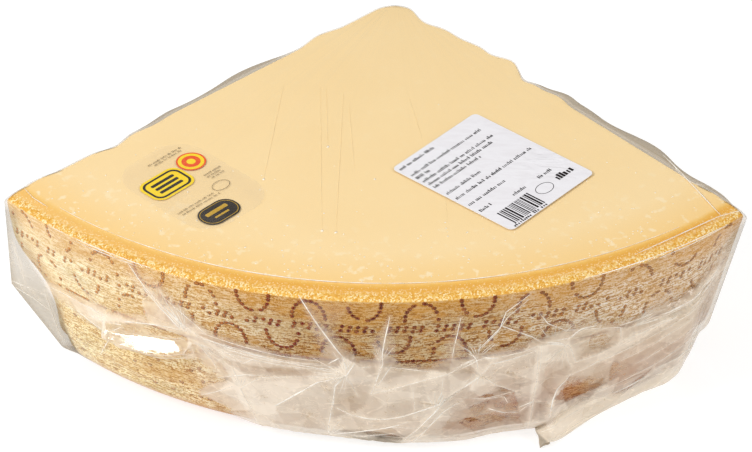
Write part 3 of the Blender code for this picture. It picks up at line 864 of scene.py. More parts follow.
# Places where the film lies on the rind, or nearly: angle, height in mm, how far off in mm
LYING_PLACES = [
    (-46, 96, 0), (-36, 96, 0), (-31, 84, 0), (-36, 72, 0), (-30, 70, 0), (-43, 76, 0), (-15, 96, 0),
    (-14, 80, 0), (-10, 72, 0), (0, 96, 0), (6, 84, 0), (14, 84, 0), (15, 72, 0), (20, 96, 0),
    (22, 80, 0),
    (30, 90, 0), (32, 76, 0), (38, 84, 0), (46, 96, 0), (46, 84, 0), (-46, 30, 0), (-40, 25, 0),
    (-34, 25, 0),
    (-28, 22, 0), (-46, 0, 0), (-38, 0, 0), (-30, 0, 0), (-24, 0, 0), (-23, 28, 0),
    (-8.4, 47, 1.5), (-11, 46, 1.9), (-7, 20, 2.2), (-10, 12, 2.4), (-16.6, 47, 2.0), (-2.2, 35, 1.0),
    (-0.5, 30, 2.2), (-1.5, 44, 1.8), (4, 34, 2.8), (2, 31, 2.6), (6.5, 38, 2.8), (4, 10, 2.0),
    (1, 8, 1.4),
    (11.6, 49, 0.8), (16, 46, 2.4), (15.3, 37, 0.8), (13.2, 28.4, 0.6), (17.0, 26, 1.1), (16, 16, 0.8),
    (11.6, 12.5, 0.7), (10, 19, 1.1), (9.6, 26, 1.8), (21, 49, 2.2), (20.8, 41, 1.2), (20.2, 32, 1.0),
    (13.4, 13, 0.8), (14.4, 19.5, 0.8), (17.6, 13.5, 1.0), (12.4, 20.5, 0.9), (19.9, 22, 1.1),
    (8.4, 15, 1.6),
    (23.8, 26, 0.9), (25.6, 27.6, 0.9), (22.6, 21.5, 1.2), (25.2, 23.0, 1.0), (24.6, 30.5, 0.9),
    (22.4, 29, 1.2),
    (25, 53, 0.9), (27, 50.5, 0.9), (25, 59, 1.4), (46, 66, 1.0), (31, 60.5, 0.8),
    (36, 62.5, 0.9), (39, 66, 1.0), (46, 10, 3.0), (40, 10, 3.2), (30, 12, 2.0), (46, 0, 3.0),
    (36, 0, 3.0),
    (26, 0, 3.0), (24, 10, 1.6), (-19.4, 30, 0.6), (-15.2, 22, 0.8),
]

MILK_PER_MM = 0.230           # how much milkier the film looks for each mm that it stands off
MILK_MOST = 0.76
FACET_SHARE = 0.72            # how much of that is the facet's own, the same all over it
WEB_MILK = 0.22               # the most where one stretched layer spans a corner, and high up it
HIGH_WEB_MILK = 0.04
RIGHT_WEB_MILK = 0.62         # the same at the right, where the film lies double
# Where the cheese's corner ends low down, and how much farther out on top
WEB_START = math.radians(38.9)
WEB_START_RISE = math.radians(3.8)
WEB_FADE = math.radians(0.7)
FACET_TONE = 0.09             # facets differ by this much either way
UPPER_HAZE = 0.008
TOP_HAZE = 0.015
RIM_HAZE = 0.03
MOST_HAZE = 0.92
SIDE_HAZE = 0.05              # more towards the left corner, where the film is seen askew
CUT_HAZE = 0.12
WEB_HAZE = 0.20

# Facets that are whiter or clearer than their distance from the rind makes them: an outline as
# (angle, height in mm), and how much haze it adds
TONED_FACETS = [
    ([(-2.4, 49.5), (-5, 45), (-8, 35.5), (-10.6, 25.7), (-11.6, 30), (-13.2, 38), (-8, 44.5)], 0.16),
    ([(-15, 52), (-13.4, 38), (-11.6, 30), (-10.4, 25), (-11.6, 4), (-14.2, 8), (-15.6, 36)], 0.14),
    ([(-13, 50.5), (-8, 50.8), (-4, 51), (-2.6, 49.6), (-8, 44.8), (-12.6, 41)], -0.04),
    ([(-18.6, 61.4), (-15.2, 57), (-11.8, 55.4), (-7.3, 55.6), (-7.3, 51), (-11.9, 49), (-16, 50)], 0.24),
    ([(20.8, 9), (21.3, 14.8), (22.1, 18.8), (24.5, 21.7), (26.9, 24.1), (29.3, 27), (28.6, 16)], 0.30),
    ([(12.2, 33.0), (13.2, 34.8), (14.4, 33.2), (13.2, 32.2)], -0.56),
    ([(10.9, 19.6), (11.6, 20.2), (12.6, 17.6), (11.8, 16.8)], -0.46),
    # clearer over the gap under the foot in the middle, so that the painted shade there shows through
    ([(-5, 10), (-3, 7), (-0.1, 2), (3.5, 2), (3.9, 9), (1.2, 13), (-1.1, 13.6), (-2.8, 12.6)], -0.38),
    ([(0.3, 38), (3, 42), (6, 46.5), (9, 50), (7, 51.4), (3, 49), (0.9, 44)], 0.12),
    ([(7.8, 27), (9, 35.5), (11.2, 42), (12.5, 47), (13.3, 43), (10.6, 33), (8.3, 26)], 0.10),
    ([(13.6, 53.5), (18.6, 57.2), (17.8, 45), (16.2, 42), (12.8, 43.5)], 0.08),
    ([(18.6, 60), (19.9, 60), (19.7, 34), (19.6, 10), (18.2, 10), (18.3, 34)], 0.12),
    ([(-29.6, 41), (-25, 40), (-21.5, 43.5), (-19.8, 49), (-20.2, 58), (-25, 60), (-30.5, 51)], -0.48),
    ([(-20.8, 21.5), (-18.8, 30), (-16.2, 36), (-14.3, 33), (-14, 18), (-16.4, 14)], 0.40),
    ([(-19.4, 48), (-17.4, 38), (-15.4, 34), (-13.4, 40), (-15.4, 47), (-18, 51)], 0.12),
    ([(-40, 58), (-31, 58), (-28, 56.6), (-31, 50.6), (-36, 49), (-40, 50)], 0.16),
    ([(-24.8, 83), (-22.2, 76), (-17.6, 62.5), (-20.5, 61), (-22.6, 69)], 0.16),
    ([(28.8, 15.7), (31.0, 18.7), (33.6, 25.2), (32.3, 18.3), (30.2, 13.5)], -0.35),
    ([(-17, 49), (-16, 34), (-20, 22), (-13, 4), (-4, 6), (-4, 30), (-8, 46)], 0.07),
    # less milk over the lower right: painted shade, on the side turned away from the key lamp
    ([(28, 22), (34, 24), (46, 30), (46, 62), (40, 60), (34, 50), (28, 44)], -0.24),
    ([(7.9, 20), (7.6, 34), (10.4, 34), (11.6, 24), (10.4, 18)], 0.14),
]
# Painted shade over the dark gap under the film where the foot rounds off, in the middle, given by dimming
# the film: angle, height in mm
DARK_FOOT = [(-5.2, 6), (-3, 1), (3.5, 0), (4.2, 6), (1.2, 10), (-2.8, 9.6)]
EDGE_BLUR = 0.4               # mm over which such an outline runs out
# Places where the film clings and the damp rind shows through, with ragged soft edges
CLEAR_WINDOWS = [
    ([(20.9, 22), (21.2, 28), (22.8, 31), (25.6, 29.4), (27.8, 25), (25.6, 19.2), (22.0, 18.4)], -0.22),
    ([(14.0, 26), (16.3, 30.8), (18.4, 29.1), (20.5, 22.1), (19.8, 12.3), (15.8, 10.5),
      (13.0, 17.1)], -0.12),
    ([(14.4, 46.8), (15.2, 47.6), (16.6, 44.2), (16.4, 33.4), (14.4, 32.0)], -0.12),
    ([(24.0, 58.6), (26.4, 58.0), (28.3, 51.4), (27.4, 46.5), (24.6, 49.8)], -0.12),
]
WINDOW_BLUR = 2.2
WINDOW_RAG = 5.4
# The one facet that is drawn flat and mirrors a lamp: angle, height in mm
CALM_FACET = [
    (-30.2, 45), (-28, 42.5), (-25, 43), (-22.2, 46), (-20.4, 50), (-21, 57), (-25, 55), (-28, 52),
    (-30.4, 49),
]


@np.vectorize
def swelling(angle, height):
    return noise.noise(Vector((angle / PUFF_ANGLE, height / PUFF_HEIGHT, 2.7)))


@np.vectorize
def crinkle(angle, height):
    """Small flat facets, as in crushed film."""
    return noise.voronoi(Vector((angle * 45.0, height * 120.0, 0.4)))[0][0]


@np.vectorize
def wander(across, up, way):
    return noise.noise(Vector((across / FOLD_WANDER_SIZE, up / FOLD_WANDER_SIZE, way)))


def fold_net():
    """Triangles between the folds: corners on the unrolled wall in mm, and their standing off."""
    spots, links = [], []
    for chain in FOLD_CHAINS:
        links += [(len(spots) + step, len(spots) + step + 1) for step in range(len(chain) - 1)]
        spots += chain
    spots += LYING_PLACES
    flat = [
        Vector((1000 * WHEEL_RADIUS * math.radians(angle), height + SEEN_DROP * off))
        for angle, height, off in spots
    ]
    corners, _, facets, sources, _, _ = geometry.delaunay_2d_cdt(flat, links, [], 0, 0.01)
    lifts = [max((spots[source][2] for source in near), default=1.5) for near in sources]
    facets = np.array([facet for facet in facets if len(facet) == 3])
    return np.array([tuple(corner) for corner in corners])[facets], np.array(lifts)[facets]


NET_CORNERS, NET_LIFTS = fold_net()
FACET_TONES = np.random.default_rng(3).uniform(-FACET_TONE, FACET_TONE, len(NET_LIFTS))


def net_at(angles, heights):
    """How far the net of folds stands off the rind, in metres, and each place's facet."""
    across = 1000 * WHEEL_RADIUS * angles
    up = 1000 * heights
    strayed = FOLD_WANDER * wander(across, up, 0.0), FOLD_WANDER * wander(across, up, 7.0)
    here = np.stack([across + strayed[0], up + strayed[1]], 1)
    first, second, third = (NET_CORNERS[:, corner] for corner in range(3))
    gap = here[:, None] - third
    side_a, side_b = first - third, second - third
    whole = side_a[:, 0] * side_b[:, 1] - side_a[:, 1] * side_b[:, 0]
    share_a = (gap[..., 0] * side_b[:, 1] - gap[..., 1] * side_b[:, 0]) / whole
    share_b = (side_a[:, 0] * gap[..., 1] - side_a[:, 1] * gap[..., 0]) / whole
    shares = np.stack([share_a, share_b, 1 - share_a - share_b], 2)
    facet = shares.min(axis=2).argmax(axis=1)
    own = np.clip(shares[np.arange(len(here)), facet], 0.0, 1.0)
    return (own * NET_LIFTS[facet]).sum(axis=1) / own.sum(axis=1) / 1000, facet


def inside_distance(outline, x, y):
    """Millimetres from the outline, positive inside it."""
    scale = 1000 * WHEEL_RADIUS * math.pi / 180
    corners = np.array([(angle * scale, height) for angle, height in outline])
    nearest = np.full_like(x, 1e9)
    inside = np.zeros(len(x), dtype=bool)
    for first, second in zip(corners, np.roll(corners, -1, axis=0)):
        run = second - first
        share = np.clip(((x - first[0]) * run[0] + (y - first[1]) * run[1]) / (run @ run), 0.0, 1.0)
        gap = np.hypot(x - first[0] - share * run[0], y - first[1] - share * run[1])
        nearest = np.minimum(nearest, gap)
        crosses = (first[1] > y) != (second[1] > y)
        rise = second[1] - first[1] or 1e-9
        inside ^= crosses & (x < first[0] + (y - first[1]) / rise * run[0])
    return np.where(inside, nearest, -nearest)


def calm_at(angles, heights, lifts):
    """1 where the film is drawn flat and smooth, 0 elsewhere."""
    seen = 1000 * (heights - SEEN_DROP * lifts)
    return smooth_step(inside_distance(CALM_FACET, 1000 * WHEEL_RADIUS * angles, seen), -1.5, 1.5)


def film_front(angles, height):
    angles = np.atleast_1d(angles)
    lift, _ = net_at(angles, np.full_like(angles, height))
    free = np.minimum(lift / LOOSE_FROM, 1.0) * (1 - calm_at(angles, np.full_like(angles, height), lift))
    lift = lift + free * (PUFF * swelling(angles, height) + CRUSH * crinkle(angles, height))
    radius = rind_radius(height) - drawn_foot(angles, height) + np.maximum(lift, 0.0)
    corner = np.where(angles < 0, corner_radius(-1, height), corner_radius(1, height))
    return mix(radius, corner, smooth_step(np.abs(angles), HALF_ANGLE - CORNER_WIDTH, HALF_ANGLE))


def film_cut(side, places, heights):
    webs = RIGHT_FILM_WEBS if side > 0 else LEFT_FILM_WEBS
    depth = TOP - heights
    left = 1 - smooth_step(depth, WEB_DROP, WEB_DEPTH)
    web = steps_at(webs, places) * np.minimum(depth / WEB_DROP, 1.0) * left
    fade = smooth_step(places, 0.0, TIP_FADE) * smooth_step(WHEEL_RADIUS - places, 0.0, RIND_FADE)
    return torn_offset(side, places, heights) + web * fade


def past_corner(angles, heights):
    """1 where the film spans a corner beyond the cheese."""
    start = WEB_START + WEB_START_RISE * smooth_step(heights, 0.045, 0.080)
    return smooth_step(np.abs(angles), start, start + WEB_FADE)


def film_haze(points, on_wall):
    """How milky the film is at each of its points, 0 clear to 1 white."""
    angles, radii = polar(points)
    heights = points[:, 2]
    x = 1000 * WHEEL_RADIUS * angles
    cheese_radii = np.array([cheese_front(angle, height) for angle, height in zip(angles, heights)])
    off = np.maximum(1000 * (radii - cheese_radii - SKIN), 0.0)
    parts = zip(np.array_split(angles, 200), np.array_split(heights, 200))
    facets = np.concatenate([net_at(*part)[1] for part in parts])
    corner = smooth_step(np.abs(angles), WEB_START - math.radians(1), WEB_START + math.radians(1))
    high = smooth_step(heights, 0.050, 0.082)
    most = mix(MILK_MOST, np.where(angles > 0, RIGHT_WEB_MILK, mix(WEB_MILK, HIGH_WEB_MILK, high)), corner)
    own = NET_LIFTS.mean(axis=1)[facets]
    milky = np.minimum(MILK_PER_MM * mix(off, np.minimum(own, off + 1.5), FACET_SHARE), most)
    milky = milky * smooth_step(off, 0.1, 0.6)
    milky = milky + FACET_TONES[facets] * np.minimum(own / 2, 1.0)
    seen = 1000 * heights - SEEN_DROP * off
    for outline, amount in TONED_FACETS:
        milky = milky + amount * smooth_step(inside_distance(outline, x, seen), -EDGE_BLUR, EDGE_BLUR)
    tatters = [noise.noise(Vector((a / 2.0, b / 1.6, 9.1))) for a, b in zip(x, seen)]
    ragged = WINDOW_RAG * np.array(tatters)
    for outline, amount in CLEAR_WINDOWS:
        inward = inside_distance(outline, x, seen) + ragged
        milky = milky + amount * smooth_step(inward, -WINDOW_BLUR, WINDOW_BLUR)
    haze = UPPER_HAZE + SIDE_HAZE * smooth_step(-angles, math.radians(20), HALF_ANGLE) + milky
    web = CUT_HAZE + WEB_HAZE * (1 - smooth_step(TOP - heights, 0.003, 0.025))
    haze = np.where(on_wall, haze, web)
    on_rim = (heights > TOP - RIM_DROP + 1e-4) & on_wall
    haze = np.where(on_rim, RIM_HAZE, haze)
    return np.clip(np.where(heights > TOP - 1e-4, TOP_HAZE, haze), 0.0, MOST_HAZE)


def film_calm(points, on_wall):
    """1 on the flat facet that mirrors a lamp."""
    angles, radii = polar(points)
    lifts = np.maximum(radii - rind_radius(points[:, 2]), 0.0)
    return np.where(on_wall, calm_at(angles, points[:, 2], lifts), 0.0)


def film_dim(points, on_wall):
    """How much the film dims what is bright behind it: most where it spans a gap on edge, and as painted
    shade over the gap under the foot.
    """
    angles, places = polar(points)
    x, up = 1000 * WHEEL_RADIUS * angles, 1000 * points[:, 2]
    shaded = smooth_step(inside_distance(DARK_FOOT, x, up), -1, 1)
    down = smooth_step(TOP - points[:, 2], 0.002, 0.008)
    askew = np.where(angles < 0, mix(0.85, 0.50, smooth_step(points[:, 2], 0.045, 0.065)), 0.30)
    web = np.maximum(askew * past_corner(angles, points[:, 2]) * down, shaded)
    depth = TOP - points[:, 2]
    left = 1 - smooth_step(depth, WEB_DROP, WEB_DEPTH)
    right_spans, left_spans = steps_at(RIGHT_FILM_WEBS, places), steps_at(LEFT_FILM_WEBS, places)
    spans = np.where(points[:, 0] > 0, right_spans, left_spans)
    askew_webs = np.clip(0.25 + spans * left / 0.003, 0.0, 1.0) * np.minimum(depth / 0.0004, 1.0)
    return np.where(on_wall, web, askew_webs)


# Clear polyethylene film, blown thin: no colour, bright narrow reflections, and a white haze where
# it is stretched, crushed or lies double. Crushing leaves flat facets about 12 mm wide with sharp
# ridges between them. Its thickness doesn't bend what is seen through it.
film_surface, add, shader = new_material("clear polyethylene film, vacuum drawn")
film_surface.node_tree.nodes.remove(shader)
wall, _, height, _ = wheel_coordinates(add)
haze = add("Attribute", out="Fac", attribute_name="haze")
pulls = drawn_out(add, wall, (60.0, 150.0), Detail=5.0, Roughness=0.6, Distortion=1.2)
cell_place = add("VectorMath", [wall, (62.0, 95.0, 0.0)], operation="MULTIPLY")
lean = add("TexNoise", {"Vector": cell_place, "Scale": 0.7, "Detail": 1.0}, out="Color")
bent = add("VectorMath", [cell_place, lean], operation="ADD")
cells = add("TexVoronoi", {"Vector": bent, "Scale": 1.0}, out=None, distance="MANHATTAN")
edge = add("TexVoronoi", {"Vector": bent, "Scale": 1.0}, out="Distance", feature="DISTANCE_TO_EDGE")
ridge = add("MapRange", [edge, 0.0, 0.05, 0.30, 0.0])
some = add("MapRange", [pulls, 0.48, 0.60])
ridge = add("Math", [ridge, some], operation="MULTIPLY")
tone = add("MapRange", [cells["Color"], 0.2, 0.8, 0.93, 1.07])
tone = add("Math", [tone, ridge], operation="ADD")
# fine wrinkles, each a pale line with a painted shadow beside it that darkens the film's milky colour
wrinkles = drawn_out(add, wall, (95.0, 150.0), Detail=3.0, Roughness=0.55, Distortion=1.0)
beside = add("Math", [wrinkles, 0.5], operation="SUBTRACT")
gap = add("Math", [beside], operation="ABSOLUTE")
pale = add("MapRange", [gap, 0.0, 0.010, 0.28, 0.0])
tone = add("Math", [tone, pale], operation="ADD")
painted_wrinkle_shade = add("MapRange", [beside, 0.030, 0.010, 0.0, 1.0])
under = add("Math", [beside, 0.006], operation="GREATER_THAN")
painted_wrinkle_shade = add("Math", [painted_wrinkle_shade, under], operation="MULTIPLY")
painted_wrinkle_shade = add("Math", [painted_wrinkle_shade, some], operation="MULTIPLY")
milk = add("Math", [haze, tone], operation="MULTIPLY", use_clamp=True)
calm = add("Attribute", out="Fac", attribute_name="calm")
loose = add("MapRange", {0: calm, 3: 0.24, 4: 0.02})
pulled = add("Bump", {"Strength": loose, "Distance": 0.0010, "Height": pulls})
crushing = {"Strength": loose, "Distance": 0.0018, "Height": cells["Distance"], "Normal": pulled}
crushed = add("Bump", crushing)
crushed = add("Bump", {"Strength": loose, "Distance": 0.0012, "Height": wrinkles, "Normal": crushed})
dim = add("Attribute", out="Fac", attribute_name="dim")
passing = layered(add, "#ffffff", [(dim, "#bdb8ae")])
clear = add("BsdfTransparent", {"Color": passing})
scatter_colour = layered(add, "#fef2e0", [(painted_wrinkle_shade, "#d6bf9b")])
white = add("BsdfDiffuse", {"Color": scatter_colour, "Normal": crushed})
through = add("BsdfTranslucent", {"Color": "#fdf0d8"})
scatter = add("MixShader", [0.25, white, through])
body = add("MixShader", [milk, clear, scatter])
askew = add("LayerWeight", {"Blend": 0.5, "Normal": crushed}, out="Facing")
steep = add("Math", [askew, 4.0], operation="POWER")
tight = add("MapRange", [haze, 0.06, 0.30, 0.010, 0.026])
level = add("MapRange", [height, TOP - 0.0012, TOP - 0.0002])
least = add("Mix", {0: level, 2: tight, 3: 0.026})
least = add("Mix", {0: calm, 2: least, 3: 0.070})
# less on edge where it is pressed against the foot, or hangs slack across a corner
pressed = add("MapRange", [height, 0.016, 0.005, 0.0, 0.85])
slack = add("Math", [pressed, dim], operation="MAXIMUM")
on_edge = add("MapRange", {0: slack, 3: 0.60, 4: 0.08})
shine = add("MapRange", [steep, 0.0, 1.0, least, on_edge])
gloss = add("BsdfGlossy", {"Roughness": 0.09, "Normal": crushed})
glossy = add("MixShader", [shine, body, gloss])
set_inputs(film_surface.node_tree.nodes["Material Output"], {"Surface": glossy})

FILM_COLUMNS = 460
FILM_CUT_COLUMNS = 80
FILM_LEVEL_STEP = 0.00078
spacing = body_spacing(FILM_COLUMNS, FILM_CUT_COLUMNS)
loops = body_loops(spacing, film_front, film_cut, TOP, 0.0, FILM_LEVEL_STEP)
film, film_points = body_piece("film", loops, film_surface)
wall_part = np.arange(len(loops[0])) <= FILM_COLUMNS
on_wall = np.concatenate([np.tile(wall_part, len(loops)), [True, True]])
add_values(film, "haze", film_haze(film_points, on_wall))
add_values(film, "dim", film_dim(film_points, on_wall))
add_values(film, "calm", film_calm(film_points, on_wall))
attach(film, "root")
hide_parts("sealed_cheese")

# ---------------------------------------------------------------------------------------------
# The seam: the bag's welded end, two layers of film folded down in front of the foot. Its outer
# edge lies on the floor, and its left end stands out as an ear that curls under.
# ---------------------------------------------------------------------------------------------
SEAM_THICK = 0.0005
# Its outer edge: angle in degrees, mm from the axis, height in mm
SEAM_OUTER = [
    (20.5, 218.4, 3.2), (21.3, 216.8, 1.8), (22.6, 214.2, 0.7), (25, 209.8, 0.7), (28, 205.6, 0.8),
    (31, 203.4, 0.7), (34.7, 201.7, 0.8), (37.4, 200.4, 1.0), (39.8, 199.6, 2.0),
]
# Its inner edge on the film: angle in degrees, height in mm
SEAM_INNER = [
    (19.6, 7.0), (20.6, 12.6), (22.2, 18), (24.8, 21), (28, 20.6), (31, 18.6), (34, 20.6), (37, 25),
    (40, 29),
]
SEAM_BOW = 0.0010
SEAM_RIPPLE = 0.0005
HEM = 0.84                    # from here to the outer edge the seam is welded, and thicker
HEM_RISE = 0.0004
SEAM_MILK = 0.72
EAR_MILK = 0.42
EAR_CURL = 0.0027
EAR_TURN = math.radians(250)
EAR_STEPS = 9
SEAM_COLUMNS = 150
SEAM_ROWS = 30


def round_axis(angle, radius, height):
    return np.array([radius * math.sin(angle), AXIS_Y - radius * math.cos(angle), height])


def spread(rows, count):
    """The same run of values, spread evenly over count places and softened at its corners."""
    rows = np.array(rows, dtype=float)
    wanted = np.linspace(0, len(rows) - 1, count)
    straight = np.stack([np.interp(wanted, np.arange(len(rows)), column) for column in rows.T], 1)
    reach = count // len(rows) // 2
    before, after = np.repeat(straight[:1], reach, 0), np.repeat(straight[-1:], reach, 0)
    padded = np.concatenate([before, straight, after])
    soft = np.mean([padded[shift : shift + count] for shift in range(2 * reach + 1)], axis=0)
    soft[0], soft[-1] = straight[0], straight[-1]
    return soft


def seam_grid():
    """The seam's outer side, column by column from the curled ear to its right end, with normals."""
    columns = []
    for (turn, reach, rise), (inner_turn, inner_rise) in zip(
        spread(SEAM_OUTER, SEAM_COLUMNS), spread(SEAM_INNER, SEAM_COLUMNS)
    ):
        outer = round_axis(math.radians(turn), reach / 1000, rise / 1000)
        angle, height = math.radians(inner_turn), inner_rise / 1000
        inner = round_axis(angle, float(film_front(angle, height)[0]) + 0.0004, height)
        columns.append([mix(inner, outer, row / SEAM_ROWS) for row in range(SEAM_ROWS + 1)])
    grid = np.array(columns)
    along, across = np.gradient(grid, axis=0), np.gradient(grid, axis=1)
    normals = np.cross(across, along)
    normals /= np.linalg.norm(normals, axis=2)[..., None]
    rows = np.arange(SEAM_ROWS + 1) / SEAM_ROWS
    lift = np.empty(grid.shape[:2])
    for column in range(SEAM_COLUMNS):
        for row, share in enumerate(rows):
            ripple = noise.noise(Vector((column * 0.09, share * 7.0, 0.5)))
            lift[column, row] = SEAM_BOW * math.sin(math.pi * share) + SEAM_RIPPLE * ripple * (1 - share)
            lift[column, row] += HEM_RISE * float(smooth_step(share, HEM - 0.02, HEM + 0.02))
    grid = grid + normals * lift[..., None]
    left = grid[0] - grid[1]
    left /= np.linalg.norm(left, axis=1)[:, None]
    curl, curl_normals = [], []
    for step in range(EAR_STEPS, 0, -1):
        turn = EAR_TURN * step / EAR_STEPS
        curl.append(grid[0] + EAR_CURL * (left * math.sin(turn) - normals[0] * (1 - math.cos(turn))))
        curl_normals.append(normals[0] * math.cos(turn) + left * math.sin(turn))
    return np.concatenate([curl, grid]), np.concatenate([curl_normals, normals])


seam_front, seam_normals = seam_grid()
seam_front[..., 2] = np.maximum(seam_front[..., 2], 0.0004)
seam_back = seam_front - SEAM_THICK * seam_normals
seam_back[..., 2] = np.maximum(seam_back[..., 2], 0.0001)
column_count, row_count = seam_front.shape[:2]
seam_points = np.concatenate([seam_front.reshape(-1, 3), seam_back.reshape(-1, 3)])
back_start = column_count * row_count
seam_faces = []
for column in range(column_count - 1):
    for row in range(row_count - 1):
        first = column * row_count + row
        loop = (first, first + 1, first + row_count + 1, first + row_count)
        seam_faces.append(loop)
        seam_faces.append(tuple(place + back_start for place in loop[::-1]))
rim = [column * row_count for column in range(column_count)]
rim += [(column_count - 1) * row_count + row for row in range(1, row_count)]
rim += [column * row_count + row_count - 1 for column in range(column_count - 2, -1, -1)]
rim += [row for row in range(row_count - 2, 0, -1)]
for here, after in zip(rim, rim[1:] + rim[:1]):
    seam_faces.append((here, after, after + back_start, here + back_start))
seam = new_piece("film_seam", seam_points, seam_faces, film_surface)
shares = np.tile(np.arange(row_count) / (row_count - 1), column_count)
hem_line = 0.16 * np.exp(-(((shares - HEM) / 0.03) ** 2)) + 0.14 * smooth_step(shares, 0.95, 0.98)
hem_haze = 0.06 * smooth_step(shares, HEM, HEM + 0.04) + hem_line
seam_haze = np.clip(SEAM_MILK * smooth_step(shares, 0.0, 0.25) + hem_haze, 0.05, 0.9)
seam_haze[: EAR_STEPS * row_count] = EAR_MILK
# The curled ear dims what is behind it: painted shade inside the curl.
seam_dim = np.zeros(len(seam_haze))
seam_dim[: EAR_STEPS * row_count] = 1.0
add_values(seam, "haze", np.tile(seam_haze, 2))
add_values(seam, "dim", np.tile(seam_dim, 2))
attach(seam, "root")
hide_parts("sealed_cheese")

